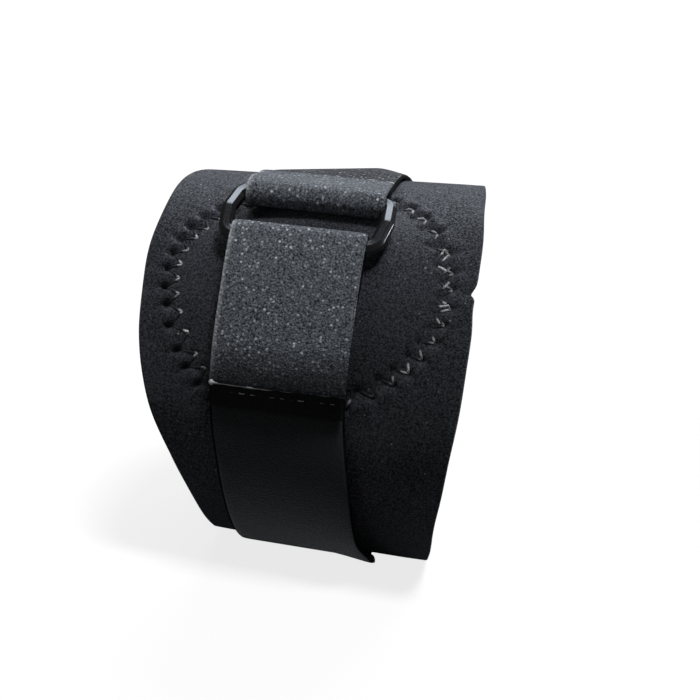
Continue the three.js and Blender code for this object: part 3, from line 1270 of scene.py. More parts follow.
@dataclass
class Sleeve:
    """Tubular neoprene sleeve, open at both ends."""

    seam: PadSeam
    columns: int = 140
    inner_columns: int = 44
    edge_points: int = 5
    corner: float = 0.7
    edge_swell: float = 0.12
    closing_gap: float = 0.5
    fine_from: float = -25.0
    fine_to: float = 105.0
    fine_step: float = 0.7
    coarse_step: float = 1.7
    left_waves: Waves = ((0.22, 5, 20.0), (0.16, 11, 70.0))
    right_waves: Waves = ((0.12, 6, 140.0), (0.1, 13, 10.0))
    height_waves: Waves = ((0.12, 7, 0.0), (0.1, 12, 50.0))
    notch_angle: float = 42.6
    notch_depth: float = 1.25
    notch_below: float = 1.1
    notch_above: float = 2.6
    notch_ease: float = 0.4
    notch_ease_reach: float = 5.0
    crease_start: float = 26.0
    crease_run: float = 5.0
    crease_slant: float = 0.25
    crease_width: float = 0.9
    crease_depth: float = 0.6
    swell: float = 0.2
    swell_off: float = 4.5
    swell_width: float = 3.0
    lip_angle: float = -64.0
    lip_width: float = 7.0
    lip: float = 1.7
    lip_reach: float = 1.9
    lip_run: float = 8.0
    corner_angle: float = -66.0
    corner_width: float = 6.0
    corner_curl: float = 2.0
    corner_run: float = 6.0
    corner_back: float = 0.6
    corner_back_off: float = 13.0
    press_angle: float = 104.0
    press_width: float = 15.0
    press: float = 1.15
    press_left: float = -21.0
    press_left_run: float = 4.0
    press_right: float = 6.0
    press_right_run: float = 16.0
    flat_width: float = 88.0
    flat_girth: float = 310.0
    flat_area: float = 21500.0

    @cached_property
    def angles(self) -> Array:
        """Angles round the sleeve, close together over the front and wider behind."""
        fine = np.arange(self.fine_from, self.fine_to, self.fine_step)
        count = round((360.0 - self.fine_to + self.fine_from) / self.coarse_step)
        coarse = np.linspace(self.fine_to, 360.0 + self.fine_from, count, endpoint=False)
        return np.concatenate([fine, coarse])

    def profile(self) -> Array:
        """Loop through the wall: outer face, right cut edge, inner face and left cut edge.

        Returns:
            Rows of share along, x beside it, height and share of relief.
        """
        turn = np.radians(np.linspace(0.0, 90.0, self.edge_points))
        size = self.corner
        cut = np.linspace(-size, size - FORM.wall, self.edge_points)[1:-1]
        face = np.linspace(0.0, 1.0, self.columns + 1)[1:-1]
        lining = np.linspace(1.0, 0.0, self.inner_columns + 1)[1:-1]
        swollen = np.full(len(cut), self.edge_swell)
        side = np.concatenate([size * np.sin(turn) - size, swollen, size * np.cos(turn) - size])
        drop = np.concatenate([size * np.cos(turn) - size, cut, size - FORM.wall - size * np.sin(turn)])
        ease = np.clip(1.0 + drop / FORM.wall, 0.0, 1.0)
        one = np.ones(len(side))
        rows = [
            np.stack([face, size * (1.0 - 2.0 * face), 0.0 * face, 1.0 + 0.0 * face], -1),
            np.stack([one, side, drop, ease], -1),
            np.stack([lining, size * (1.0 - 2.0 * lining), 0.0 * lining - FORM.wall, 0.0 * lining], -1),
            np.stack([0.0 * one, -side[::-1], drop[::-1], ease[::-1]], -1),
        ]
        return np.concatenate(rows)

    def edges(self, angle: Array) -> tuple[Array, Array]:
        """Cut edges with slight waves, a flared lip, and the notch where the right edge folds in.

        Args:
            angle: angles round the sleeve.

        Returns:
            x of the left edge and of the right edge.
        """
        left = FORM.edge(Edge.LEFT, angle) + ripple(angle, self.left_waves)
        right = FORM.edge(Edge.RIGHT, angle) + ripple(angle, self.right_waves)
        flare = self.lip_reach * bell(angle - self.lip_angle, self.lip_width)
        past = angle - self.notch_angle
        ease = self.notch_ease * bell(past + self.notch_ease_reach, self.notch_ease_reach)
        fold = bell(past, np.where(past > 0.0, self.notch_above, self.notch_below)) + ease
        return left, right + flare - self.notch_depth * fold

    def relief(self, angle: Array, x: Array, left: Array, right: Array) -> Array:
        """Height over the plain outer face.

        It adds the seam, the crease from the notch with a swell beside it, the right edge's lip, the
        left edge's curled corner, slight waves, and the dent that the ring tab presses.

        Args:
            angle: angles round the sleeve.
            x: places along it.
            left: x of the left edge.
            right: x of the right edge.

        Returns:
            Heights along the outward direction.
        """
        slack = angle - self.notch_angle - self.crease_slant * (x - right)
        crease = bell(slack, self.crease_width) * smooth_rise((x - self.crease_start) / self.crease_run)
        swell = sum(bell(slack + side * self.swell_off, self.swell_width) for side in (1.0, -1.0))
        near_right = smooth_rise((x - right) / self.lip_run + 1.0)
        near_left = smooth_rise((left - x) / self.corner_run + 1.0)
        lip = self.lip * bell(angle - self.lip_angle, self.lip_width) * near_right
        past = angle - self.corner_angle
        back = self.corner_back * bell(past - self.corner_back_off, self.corner_width)
        curl = self.corner_curl * near_left * (bell(past, self.corner_width) - back)
        waves = ripple(angle, self.height_waves) * (near_right + near_left)
        pinch = -self.crease_depth * crease + self.swell * swell * near_right
        beside = x - FORM.edge(Edge.STRAP, angle)
        pressed = smooth_rise((beside - self.press_left) / self.press_left_run)
        pressed = pressed * smooth_rise((self.press_right - beside) / self.press_right_run)
        dent = -self.press * pressed * bell(angle - self.press_angle, self.press_width)
        return self.seam.relief(angle, x) + pinch + lip + curl + waves + dent

    def build(self, neoprene: bpy.types.Material) -> bpy.types.Object:
        """Carries the wall's profile round the section and adds the relief to the outer face.

        Args:
            neoprene: its material.

        Returns:
            The sleeve.
        """
        angle = self.angles[:, None]
        left, right = self.edges(angle)
        share, beside, drop, ease = self.profile().T
        x = left + (right - left) * share + beside
        height = drop + ease * self.relief(angle, x, left, right)
        points = FORM.above(angle, x, height)
        run = np.radians(np.append(self.angles, self.angles[0] + 360.0)) * FORM.half_height
        around = run_length(points[0])
        cloth = cloth_grid(np.append(around, around[-1] + self.closing_gap), run)
        piece = Shell.ring_grid(points, cloth, loop_rows=True).to_object("neoprene_sleeve")
        seat(piece, neoprene, "sleeve")
        return piece


@dataclass
class PressurePad:
    """Oval foam cushion behind the stitched oval, in knit cloth."""

    rings: int = 40
    spokes: int = 128
    edge_share: float = 0.965
    hub_share: float = 0.01
    rim_thickness: float = 0.8
    rim_power: int = 16

    def build(self, cloth_finish: bpy.types.Material) -> bpy.types.Object:
        """Spins a lens profile round the oval.

        The reach goes from the middle of the outer face to the rim and back to the middle of the
        inner face. The inner face swells inwards with level ends, and the rim is rounded.

        Args:
            cloth_finish: its material.

        Returns:
            The pad.
        """
        pad = FORM.pad
        out = np.sin(np.linspace(self.hub_share, 1.0, self.rings) * np.pi / 2.0)
        reach = np.concatenate([out, out[::-1]])[:, None] * self.edge_share
        bearing = np.linspace(0.0, 2.0 * np.pi, self.spokes, endpoint=False)[None, :]
        place = pad.curve(bearing) * reach[..., None]
        angle, x = pad.on_sleeve(place)
        inner = np.arange(2 * self.rings)[:, None] >= self.rings
        roof = -FORM.wall - FORM.seat_gap
        swell = smooth_rise((1.0 - reach) / pad.rim)
        depth = self.rim_thickness + (pad.inward - self.rim_thickness) * swell
        soft = np.sqrt(np.clip(1.0 - (reach / self.edge_share) ** self.rim_power, 0.0, 1.0))
        middle = -0.5 * self.rim_thickness
        lower = middle - (depth + middle) * soft
        upper = middle - middle * soft
        bulge = pad.rise_at(angle, x)
        height = roof + np.where(inner, lower, upper + bulge)
        points = FORM.above(angle, x, height, bulged=False)
        flat = np.concatenate([place, place[:, :1]], 1)
        flat = np.concatenate([flat, flat[:1]], 0)
        piece = Shell.ring_grid(points, flat).to_object("pressure_pad")
        seat(piece, cloth_finish, "pad")
        return piece


@dataclass
class Ring:
    """Moulded ring with chamfered bars, whose arms bow outwards to a break half way up."""

    bar: float = 3.8
    chamfer: float = 1.0
    span: float = 42.8
    pitch: float = 16.2
    corner: float = 2.3
    x: float = -14.8
    angle: float = 50.8
    turn: float = -1.2
    ridge: float = 1.0
    bow: float = 1.2
    inset: float = 1.1
    skew: float = 0.14
    soften: float = 0.16
    soften_inset: float = 0.3
    break_rows: tuple[float, ...] = (0.04, 0.3, 1.5)
    corner_points: int = 9
    bar_points: int = 7
    search: float = 40.0
    search_step: float = 0.01

    @property
    def wrap(self) -> float:
        """Radius of webbing's middle face round a bar."""
        half = self.bar / 2.0
        return float(np.hypot(half, half - self.chamfer)) + FORM.ply_gap + FORM.webbing / 2.0

    @cached_property
    def high_angle(self) -> float:
        """Angle where the upper bar lies, one pitch from the lower one."""
        angles = np.arange(self.angle, self.angle + self.search, self.search_step)
        places = FORM.above(angles, self.x, FORM.first_ply + self.wrap)
        return float(np.interp(self.pitch, np.linalg.norm(places - places[0], axis=-1), angles))

    @cached_property
    def axes(self) -> tuple[Array, Array, Array, Array]:
        """Middle of the ring and its own directions along the bars, up and out."""
        height = FORM.first_ply + self.wrap
        low, high = FORM.above(np.array([self.angle, self.high_angle]), self.x, height)
        middle = (self.angle + self.high_angle) / 2.0
        reach = np.array([-self.span / 2.0, self.span / 2.0])
        left, right = FORM.above(middle, self.x + reach, height, bulged=False)
        up = unit(high - low)
        out = unit(np.cross(right - left, up))
        turn = np.radians(self.turn)
        up = np.cos(turn) * up + np.sin(turn) * np.cross(out, up)
        return (low + high) / 2.0, np.cross(up, out), up, out

    def bar_middle(self, bar: Bar) -> Array:
        """Middle of one bar, half a pitch from the ring's middle along the leaning arms."""
        centre, along, up, _ = self.axes
        return centre + bar.value * self.pitch / 2.0 * (up + self.skew * along)

    def path(self) -> Array:
        """Middle line: a rectangle with round corners, bowed out and raised half way up its arms.

        Bow and ridge grow with 1 - |height| / half height, and the skew leans the arms with height.

        Returns:
            Points as places along the bars, up and out of the ring's plane.
        """
        right, top, radius = self.span / 2.0 - self.inset, self.pitch / 2.0, self.corner
        turn = np.radians(np.linspace(0.0, 90.0, self.corner_points))
        arc = radius * np.stack([np.cos(turn), np.sin(turn)], -1) + (right - radius, top - radius)
        arm = np.array([[right, row] for row in self.break_rows])
        inward = np.linspace(right - radius, 0.0, self.bar_points + 1)[1:]
        bar = np.stack([inward, np.full(self.bar_points, top)], -1)
        quarter = np.concatenate([arm, arc, bar])
        half = np.concatenate([quarter, quarter[-2::-1] * (-1.0, 1.0)])
        loop = np.concatenate([half, -half])
        along, up = loop.T
        rise = 1.0 - np.abs(up) / top
        bowed = along * (1.0 + self.bow / right * rise) + self.skew * up
        return np.stack([bowed, up, self.ridge * rise], -1)

    def section(self) -> Array:
        """Bar section: a square with cut corners, each corner eased over a short arc with firm flats.

        Returns:
            Points as places to the side and out.
        """
        half, flat = self.bar / 2.0, self.bar / 2.0 - self.chamfer
        signs = np.array([[1, 1], [-1, 1], [-1, -1], [1, -1]])
        first, second = np.array([half, flat]), np.array([flat, half])
        pairs = [(first, second), (second, first)] * 2
        knots = np.concatenate([np.stack(pair) * sign for pair, sign in zip(pairs, signs)])
        back, on = unit(np.roll(knots, 1, 0) - knots), unit(np.roll(knots, -1, 0) - knots)
        reach, inset = self.soften, self.soften_inset * self.soften
        stops = [knots + 2.0 * reach * back, knots + reach * back, knots + inset * (back + on)]
        stops += [knots + reach * on, knots + 2.0 * reach * on]
        return np.stack(stops, 1).reshape(-1, 2)

    def build(self, plastic: bpy.types.Material) -> bpy.types.Object:
        """Carries the section along the path, held square to it and facing out of the ring.

        Args:
            plastic: its material.

        Returns:
            The ring.
        """
        path = self.path()
        ahead = unit(np.roll(path, -1, 0) - np.roll(path, 1, 0))
        out = np.array([0.0, 0.0, 1.0])
        out = unit(out - ahead * (ahead @ out)[:, None])
        side = np.cross(ahead, out)
        section = self.section()
        ring = path[:, None] + section[:, :1] * side[:, None] + section[:, 1:] * out[:, None]
        centre, *axes = self.axes
        points = centre + ring @ np.stack(axes)
        rows, columns = points.shape[:2]
        cloth = cloth_grid(np.arange(columns + 1.0), np.arange(rows + 1.0))
        piece = Shell.ring_grid(points, cloth, loop_rows=True).to_object("moulded_ring")
        return seat(piece, plastic, "ring")


@dataclass(frozen=True)
class StandOff:
    """How far webbing stands off where it lies: heights at its left and right sides, and where."""

    left: float
    right: float
    start: float
    full_start: float
    full_end: float
    end: float
    bend: float = 1.0
    droop: float = 0.0
    droop_from: float = 0.76
    droop_run: float = 0.28

    def height(self, angle: Array, share: Array) -> Array:
        """Side height by the share across to a power, less the right side's droop, in a smooth window.

        Args:
            angle: angles round the sleeve.
            share: places across the width, from 0 to 1.

        Returns:
            Heights above where the webbing would lie.
        """
        window = smooth_rise((angle - self.start) / (self.full_start - self.start))
        window = window * smooth_rise((self.end - angle) / (self.end - self.full_end))
        level = self.left + (self.right - self.left) * share**self.bend
        return (level - self.droop * smooth_rise((share - self.droop_from) / self.droop_run)) * window


@dataclass(frozen=True)
class WebbingLook:
    """Materials of a run of webbing: the face inside its fold, the other face, and the selvedges."""

    inside: bpy.types.Material
    outside: bpy.types.Material
    selvedge: bpy.types.Material


@dataclass
class Webbing:
    """A run of webbing that comes in under a bar, goes round it and lies back on itself."""

    name: str
    node: str
    ring: Ring
    bar: Bar
    root: float
    end: float
    lift_off: float
    settle: float
    return_ply: float
    turn: float
    length: float
    width: float
    stand_off: StandOff
    flare: float = 0.0
    flare_at: float = -54.0
    flare_reach: float = 8.0
    flare_bend: int = 3
    slant: float = 0.0
    # Length over which the colour darkens towards the free end, as painted shade.
    pressed: float = 1.0
    # Strength and width of the painted highlight along the left selvedge.
    edge_highlight: float = 0.75
    edge_highlight_width: float = 0.018
    columns: int = 46
    crowding: float = 0.2
    selvedge_power: int = 22
    step: float = 0.95
    wrap_steps: int = 26

    @property
    def bar_angle(self) -> float:
        """Angle of the bar that the webbing goes round."""
        return self.ring.high_angle if self.bar is Bar.UPPER else self.ring.angle

    @cached_property
    def across(self) -> Array:
        """Places across the width, closer together at the selvedges."""
        even = np.linspace(-1.0, 1.0, self.columns)
        crowded = np.sin(even * np.pi / 2.0)
        return ((1.0 - self.crowding) * even + self.crowding * crowded) * self.width / 2.0

    @cached_property
    def share(self) -> Array:
        """Places across the width, from 0 at the left to 1 at the right."""
        return self.across / self.width + 0.5

    @property
    def end_angle(self) -> Array:
        """Angle of the cut end across the width, slanted towards the right."""
        return self.end - self.slant * self.share

    def lying(self, angle: Array, height: Array) -> Array:
        """Rows along the strap's middle line, with the stand-off.

        Args:
            angle: angles round the sleeve.
            height: heights above the sleeve.

        Returns:
            Rows x columns x 3 places.
        """
        drift = self.flare * self.share**self.flare_bend * bell(angle - self.flare_at, self.flare_reach)
        x = FORM.edge(Edge.STRAP, angle) + self.across + drift
        return FORM.above(angle, x, height + self.stand_off.height(angle, self.share))

    def face(self, side: float) -> Array:
        """One face, outer for 1 and inner for -1.

        The incoming run lies on the sleeve and eases into the point under the bar. The wrap is an
        arc of the wrap radius about the bar. The returning run eases from the far side of the bar
        down to its own height. Each face lies half a thickness from the middle.

        Args:
            side: which face.

        Returns:
            Rows x columns x 3 places.
        """
        offset = side * tape_half(self.across, self.width, FORM.webbing, self.selvedge_power)
        _, along, up, out = self.ring.axes
        middle = self.ring.bar_middle(self.bar) + self.across[:, None] * along
        radius = (self.ring.wrap - offset)[:, None]
        bearing = np.radians(np.linspace(-90.0, -90.0 + self.turn, self.wrap_steps + 1))[:, None, None]
        wrapped = middle + radius * (np.cos(bearing) * up + np.sin(bearing) * out)
        seat_angle = np.array([[self.bar_angle]])
        steps = round(abs(self.bar_angle - self.root) / self.step)
        angle = np.linspace(self.root, self.bar_angle, steps + 1)[:-1, None]
        share = smooth_rise(1.0 - np.abs(self.bar_angle - angle) / self.lift_off)[..., None]
        shift = wrapped[0] - self.lying(seat_angle, FORM.first_ply + offset)
        incoming = self.lying(angle, FORM.first_ply + offset) + share * shift
        reach = self.end_angle - self.bar_angle
        steps = round(np.abs(reach).max() / self.step)
        angle = self.bar_angle + np.linspace(0.0, 1.0, steps + 1)[1:, None] * reach
        share = 1.0 - smooth_rise(np.abs(angle - self.bar_angle) / self.settle)[..., None]
        shift = wrapped[-1] - self.lying(seat_angle, self.return_ply - offset)
        returning = self.lying(angle, self.return_ply - offset) + share * shift
        return np.concatenate([incoming, wrapped, returning])

    def build(self, look: WebbingLook) -> bpy.types.Object:
        """Joins both faces into a closed ribbon and dresses faces and selvedges.

        The attribute edge, a painted highlight, is highest at the left selvedge and falls off as a bell
        across the width.
        The attribute pressed rises smoothly to 1 at the free end, where it darkens the colour as painted
        shade.
        Faces take material 0 inside the fold, 1 outside it and 2 along the selvedges.

        Args:
            look: the materials, in that order.

        Returns:
            The ribbon.
        """
        outer, inner = self.face(1.0), self.face(-1.0)
        points = ribbon(outer, inner)
        run = run_length(0.5 * (outer + inner)[:, self.columns // 2])
        wide = np.concatenate([self.across, self.across[::-1] + 2.0 * self.width])
        wide = np.append(wide, wide[-1] + FORM.webbing)
        shell = Shell.ring_grid(points, cloth_grid(wide, np.append(run, run[-1])))
        # Painted highlight: lightens the colour along the left selvedge.
        edge_highlight = self.edge_highlight * bell(self.share, self.edge_highlight_width)
        shell.values["edge"] = np.broadcast_to(np.concatenate([edge_highlight, edge_highlight[::-1]]), points.shape[:2])
        # Painted shade: darkens the colour towards the free end.
        pressed = smooth_rise(1.0 - (run[-1] - run) / self.pressed)
        shell.values["pressed"] = np.broadcast_to(pressed[:, None], points.shape[:2])
        piece = seat(shell.to_object(self.name), look.inside, self.node)
        piece.data.materials.append(look.outside)
        piece.data.materials.append(look.selvedge)
        face = np.arange(len(piece.data.polygons))
        column = face % (2 * self.columns)
        bound = np.isin(column, [0, self.columns - 2, self.columns - 1, 2 * self.columns - 1])
        chosen = np.where(bound, 2, column < self.columns)
        chosen = np.where(face < len(shell.faces[0]), chosen, 0)
        piece.data.polygons.foreach_set("material_index", chosen.astype(np.int32))
        LOG.info("%s: %.1f mm long", self.name, run[-1])
        return piece

    def end_line(self) -> tuple[Array, Array]:
        """Middle line of the free end's cut edge.

        Returns:
            Its points, and the directions away from the sleeve there.
        """
        line = 0.5 * (self.face(1.0)[-1] + self.face(-1.0)[-1])
        angle = self.end_angle
        return line, FORM.outward(angle, FORM.edge(Edge.STRAP, angle) + self.across)


@dataclass
class HookTab:
    """Strip of hook tape under the strap's free end, running a little past it."""

    start: float = 34.0
    end: float = 1.9
    width: float = 35.4
    ribs: int = 44
    rib_height: float = 0.14
    rib_points: int = 6
    selvedge_power: int = 30
    rows: int = 44
    length: float = 33.0

    def build(self, hook_back: bpy.types.Material) -> bpy.types.Object:
        """A lying strip whose outer face is ribbed: a rectified cosine across the width.

        Args:
            hook_back: its material.

        Returns:
            The strip.
        """
        across = np.linspace(-0.5, 0.5, self.ribs * self.rib_points + 1) * self.width
        half = tape_half(across, self.width, FORM.hook_tape, self.selvedge_power)
        rib = self.rib_height * (np.abs(np.cos(np.pi * self.ribs * across / self.width)) - 1.0)
        angle = np.linspace(self.end, self.start, self.rows)[:, None]
        x = FORM.edge(Edge.STRAP, angle) + across
        outer = FORM.above(angle, x, FORM.hook_ply + half + rib)
        inner = FORM.above(angle, x, FORM.hook_ply - half)
        run = np.linspace(0.0, self.length, self.rows + 1)
        wide = np.concatenate([across, across[::-1] + 2.0 * self.width, [3.0 * self.width]])
        shell = Shell.ring_grid(ribbon(outer, inner), cloth_grid(wide, run))
        piece = seat(shell.to_object("hook_tab_tape"), hook_back, "hook_tab")
        return piece


@dataclass(frozen=True)
class StitchLine:
    """A straight line of stitches on cloth: its ends as angle and x, and its height above the sleeve."""

    start: tuple[float, float]
    end: tuple[float, float]
    height: float


@dataclass
class SewnLines:
    """Straight lock stitches: along the hook tab, and boxes with crosses where webbing is sewn on."""

    pitch: float = 2.7
    length: float = 2.0
    thread: float = 0.17
    sides: int = 6
    stations: int = 7
    hook_angle: float = 6.4
    hook_side: float = 16.5
    box_side: float = 15.5
    strap_box: tuple[float, float] = (-200.5, -187.0)
    tab_box: tuple[float, float] = (147.5, 135.0)
    lengths: tuple[float, float] = (0.25, 0.9)
    places: tuple[float, float] = (0.35, 0.65)
    arch_ends: tuple[float, float] = (0.04, 0.96)
    arch: float = 0.34
    sink: float = 0.25
    seed: int = 3

    def lines(self) -> list[StitchLine]:
        """All lines of stitches, with webbing's own drift in x left out over these short runs.

        Returns:
            The hook tab's line, then both boxes.
        """
        top = FORM.first_ply + FORM.webbing / 2.0
        hook = FORM.hook_ply + FORM.hook_tape / 2.0
        row = StitchLine((self.hook_angle, -self.hook_side), (self.hook_angle, self.hook_side), hook)
        return [row, *self.box(self.strap_box, top), *self.box(self.tab_box, top)]

    def box(self, angles: tuple[float, float], height: float) -> list[StitchLine]:
        """The four sides of a box and its two diagonals.

        Args:
            angles: where the box starts and ends.
            height: height of its stitches above the sleeve.

        Returns:
            The six lines.
        """
        (first, last), side = angles, self.box_side
        knots = [(first, -side), (last, -side), (last, side), (first, side)]
        pairs = [*zip(knots, knots[1:] + knots[:1]), (knots[0], knots[2]), (knots[1], knots[3])]
        return [StitchLine(a, b, height) for a, b in pairs]

    def paths(self, line: StitchLine) -> tuple[Array, Array]:
        """Stitches along one line: each rises from the cloth, lies on it and dips back.

        Args:
            line: where the stitches run.

        Returns:
            Stitch middle lines, and directions away from the cloth.
        """
        ends = np.array([line.start, line.end])
        way = ends[1] - ends[0]
        count = max(2, round(np.hypot(np.radians(way[0]) * FORM.half_height, way[1]) / self.pitch))
        rng = np.random.default_rng(self.seed)
        long = self.length / self.pitch * rng.uniform(*self.lengths, (count, 1))
        place = np.arange(count)[:, None] + rng.uniform(*self.places, (count, 1))
        share = (place + long * np.linspace(-0.5, 0.5, self.stations)) / count
        angle = ends[0, 0] + share * way[0]
        x = FORM.edge(Edge.STRAP, angle) + ends[0, 1] + share * way[1]
        arch = np.sqrt(np.sin(np.pi * np.linspace(*self.arch_ends, self.stations)))
        height = line.height - self.sink + self.arch * arch
        return FORM.above(angle, x, height), FORM.outward(angle, x)

    def build(self, thread: bpy.types.Material) -> bpy.types.Object:
        """Joins all stitches into one mesh.

        Args:
            thread: its material.

        Returns:
            The stitches.
        """
        pairs = [self.paths(line) for line in self.lines()]
        paths, upright = (np.concatenate(group) for group in zip(*pairs))
        shell = Shell.tubes(paths, np.array(self.thread), self.sides, upright)
        # Painted highlight: each stitch's colour is lightened by a random amount.
        painted_highlight = np.random.default_rng(self.seed).uniform(0.0, 1.0, len(paths)) ** 2
        shell.values["painted_highlight"] = np.repeat(painted_highlight, paths.shape[1] * self.sides)
        return seat(shell.to_object("webbing_stitches"), thread)


@dataclass
class Strap:
    """Cinching strap and the ring tab, with their heat-sealed ends."""

    ring: Ring
    seal_radius: float = 0.42
    seal_sunk: float = 0.45
    seal_out: float = 0.4
    seal_waves: tuple[tuple[float, float, float], ...] = ((0.12, 47.0, 0.0), (0.1, 23.0, 1.0))
    seal_lift: float = 0.36
    seal_fade: float = 0.1
    seal_sides: int = 10
    strap_span: tuple[float, float] = (-1.0, 0.5)
    tab_span: tuple[float, float] = (0.5, 2.0)
    blob: float = 0.55
    blob_at: float = 0.015
    blob_width: float = 0.012

    def build(self, strap_look: WebbingLook, tab_look: WebbingLook, sealed: bpy.types.Material) -> None:
        """Builds both runs of webbing and the beads along their cut ends.

        Args:
            strap_look: materials of the strap.
            tab_look: materials of the ring tab.
            sealed: material of the melted ends, pale as a painted highlight.
        """
        strap = Webbing(
            "plush_strap",
            "strap",
            self.ring,
            Bar.LOWER,
            root=-202.5,
            end=9.0,
            lift_off=12.0,
            settle=26.0,
            return_ply=FORM.free_ply,
            turn=180.0,
            length=284.0,
            width=36.7,
            flare=3.2,
            # Over its last 15 mm the colour darkens as painted shade.
            pressed=15.0,
            stand_off=StandOff(
                0.0, 3.2, start=-62.0, full_start=-53.0, full_end=-45.0, end=6.0, bend=2.5
            ),
        )
        tab = Webbing(
            "ring_tab_webbing",
            "ring_tab",
            self.ring,
            Bar.UPPER,
            root=150.0,
            end=88.0,
            lift_off=12.0,
            settle=19.0,
            return_ply=FORM.second_ply,
            turn=-180.0,
            length=100.0,
            width=38.0,
            slant=6.5,
            stand_off=StandOff(
                -1.0, 1.9, start=80.0, full_start=98.0, full_end=112.0, end=136.0, droop=2.1
            ),
        )
        strap_piece, tab_piece = strap.build(strap_look), tab.build(tab_look)
        strap_bead = self.bead(strap, "strap_end_seal", sealed, self.strap_span, self.blob)
        tab_bead = self.bead(tab, "tab_end_seal", sealed, self.tab_span)

    def bead(
        self,
        run: Webbing,
        name: str,
        sealed: bpy.types.Material,
        span: tuple[float, float],
        blob: float = 0.0,
    ) -> bpy.types.Object:
        """Melted bead along a cut end, which stands out over part of the width and sinks in elsewhere; its
        pale colour is a painted highlight.

        Args:
            run: the webbing.
            name: name of the bead.
            sealed: its material, pale as a painted highlight.
            span: shares across the width between which it stands out.
            blob: extra radius where melt gathered at the left corner.

        Returns:
            The bead.
        """
        line, upright = run.end_line()
        share, fade = run.share, self.seal_fade
        out = smooth_rise((share - span[0]) / fade) * smooth_rise((span[1] - share) / fade)
        wave = sum(size * np.sin(pace * share + start) for size, pace, start in self.seal_waves)
        radius = self.seal_radius * (self.seal_sunk + self.seal_out * out + wave)
        radius = radius + blob * bell(share - self.blob_at, self.blob_width)
        path = line + self.seal_lift * out[:, None] * upright
        shell = Shell.tubes(path[None], radius[None], self.seal_sides, upright[None])
        return seat(shell.to_object(name), sealed)


class Seen(Enum):
    """Kinds of reflection that a light shows in."""

    MATT = "matt"
    GLOSS = "gloss"


@dataclass(frozen=True)
class Softbox:
    """A broad distant light: the direction towards it, its width in degrees and its strength."""

    name: str
    toward: tuple[float, float, float]
    width: float
    strength: float
    seen: Seen

    def build(self) -> None:
        """Adds the light, turned so that it shines from its direction."""
        data = bpy.data.lights.new(self.name, "SUN")
        data.energy = self.strength
        data.angle = np.radians(self.width)
        data.color = COOL if self.seen is Seen.GLOSS else NEUTRAL
        light = bpy.data.objects.new(self.name, data)
        light.visible_diffuse = self.seen is Seen.MATT
        light.visible_glossy = self.seen is Seen.GLOSS
        away = unit(np.array(self.toward))
        side = unit(np.cross([0.0, 1.0, 0.0], away))
        light.matrix_world = Matrix(np.stack([side, np.cross(away, side), away], -1).tolist()).to_4x4()
        bpy.context.scene.collection.objects.link(light)


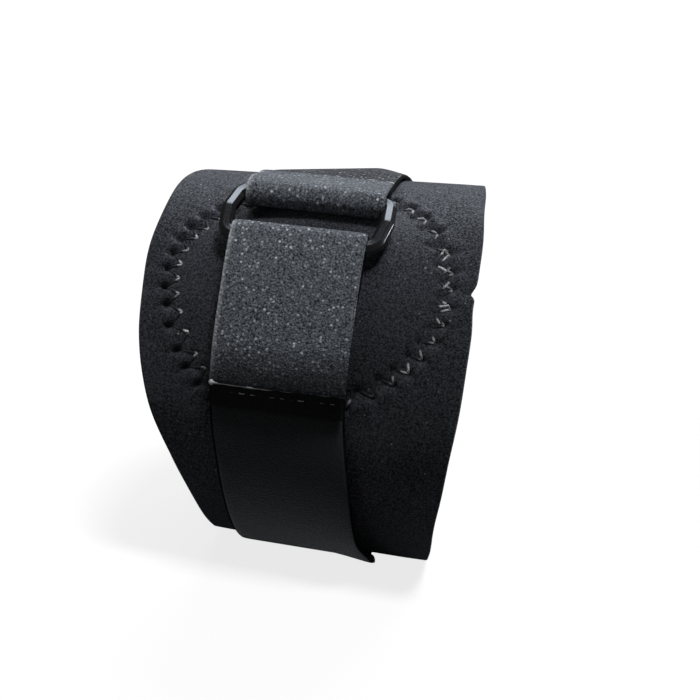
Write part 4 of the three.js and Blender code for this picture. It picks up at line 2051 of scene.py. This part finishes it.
@dataclass
class Studio:
    """Pale floor, soft light and the camera."""

    image: float = 700.0
    elevation: float = 20.0
    roll: float = 9.04
    distance: float = 850.0
    scale: float = 0.284
    aim: tuple[float, float] = (313.3, 358.4)
    aim_x: float = -8.0
    sensor: float = 36.0
    farthest: float = 100.0
    floor_half: float = 6000.0
    floor_drop: float = 0.25
    lights: tuple[Softbox, ...] = (
        Softbox("key_softbox", (0.1, -0.16, 0.98), 15.0, 2.08, Seen.MATT),
        Softbox("rear_softbox", (0.1, 0.84, 0.53), 40.0, 1.6, Seen.MATT),
        Softbox("rear_glow", (0.1, 0.84, 0.53), 50.0, 1.0, Seen.GLOSS),
        Softbox("left_fill", (-0.72, -0.62, 0.32), 40.0, 0.25, Seen.MATT),
        Softbox("back_strip", (0.0, 0.47, 0.88), 30.0, 1.2, Seen.GLOSS),
        Softbox("side_strip", (0.93, 0.27, 0.16), 15.0, 1.5, Seen.GLOSS),
    )
    sky: float = 0.02
    floor_glow: float = 0.8
    floor_tone: float = 0.25
    floor_bounce: float = 0.09

    def place_camera(self) -> None:
        """Aims the camera so that the sleeve's axis at aim_x falls on the aim pixel of the image."""
        lean, roll = np.radians(self.elevation), np.radians(self.roll)
        ahead = np.array([0.0, np.cos(lean), -np.sin(lean)])
        upright = np.array([0.0, np.sin(lean), np.cos(lean)])
        level = np.array([1.0, 0.0, 0.0])
        right = np.cos(roll) * level + np.sin(roll) * upright
        up = np.cos(roll) * upright - np.sin(roll) * level
        half = FORM.half_height + FORM.taper * self.aim_x
        axis = np.array([self.aim_x, 0.0, FORM.seat_gap + FORM.webbing - FORM.sag + half])
        shift = np.array([self.image / 2.0 - self.aim[0], self.aim[1] - self.image / 2.0]) * self.scale
        place = axis + shift[0] * right + shift[1] * up - self.distance * ahead
        data = bpy.data.cameras.new("photo_view")
        data.sensor_width = self.sensor
        data.lens = self.sensor * self.distance / self.scale / self.image
        data.clip_end = self.farthest
        camera = bpy.data.objects.new("photo_view", data)
        turn = Matrix(np.stack([right, up, -ahead], -1).tolist()).to_4x4()
        camera.matrix_world = Matrix.Translation((place * MM).tolist()) @ turn
        bpy.context.scene.collection.objects.link(camera)
        bpy.context.scene.camera = camera

    def floor_material(self) -> bpy.types.Material:
        """Pale floor, which glows to the camera so that shadows stay faint, and throws little light back.

        Returns:
            The material.
        """
        material = bpy.data.materials.new("pale_floor")
        material.use_nodes = True
        graph = Graph(material.node_tree)
        material.node_tree.nodes.remove(material.node_tree.nodes["Principled BSDF"])
        matt = graph.add("BsdfDiffuse", {"Color": grey(self.floor_tone)}).outputs[0]
        light = graph.add("Emission", {"Color": grey(self.floor_glow)}).outputs[0]
        pale = graph.add("AddShader", {0: matt, 1: light}).outputs[0]
        dull = graph.add("BsdfDiffuse", {"Color": grey(self.floor_bounce)}).outputs[0]
        seen = graph.add("LightPath").outputs["Is Camera Ray"]
        mix = graph.add("MixShader", {0: seen, 1: dull, 2: pale}).outputs[0]
        graph.tree.links.new(mix, material.node_tree.nodes["Material Output"].inputs["Surface"])
        return material

    def build(self) -> None:
        """Sets up camera, lights, sky and floor."""
        self.place_camera()
        for light in self.lights:
            light.build()
        scene = bpy.context.scene
        scene.view_settings.view_transform = "Standard"
        world = bpy.data.worlds.new("studio_sky")
        world.use_nodes = True
        world.node_tree.nodes["Background"].inputs["Color"].default_value = grey(self.sky)
        scene.world = world
        half, low = self.floor_half * MM, -self.floor_drop * MM
        mesh = bpy.data.meshes.new("pale_floor")
        corners = [(-half, -half, low), (half, -half, low), (half, half, low), (-half, half, low)]
        mesh.from_pydata(corners, [], [(0, 1, 2, 3)])
        floor = bpy.data.objects.new("pale_floor", mesh)
        floor.data.materials.append(self.floor_material())
        scene.collection.objects.link(floor)


def main() -> None:
    logging.basicConfig(level=logging.INFO, format="%(name)s %(message)s")
    studio = Studio()
    studio.build()
    thread = THREAD.material()
    seam = PadSeam()
    Sleeve(seam).build(NEOPRENE.material())
    seam.build(thread)
    PressurePad().build(PAD_CLOTH.material())
    ring = Ring()
    ring.build(MOULDED.material())
    plush, selvedge = PLUSH.material(), SELVEDGE.material()
    # The strap's outer face is painted shade, a far darker copy of its webbing.
    strap_look = WebbingLook(plush, SHADED_VELVET.material(), selvedge)
    # The tab's outer face is painted shade, a darker copy of the plush.
    tab_look = WebbingLook(plush, SHADED_LOOPS.material(), selvedge)
    Strap(ring).build(strap_look, tab_look, SEALED_HIGHLIGHT.material())
    HookTab().build(HOOK_BACK.material())
    SewnLines().build(thread)


if __name__ == "__main__":
    main()
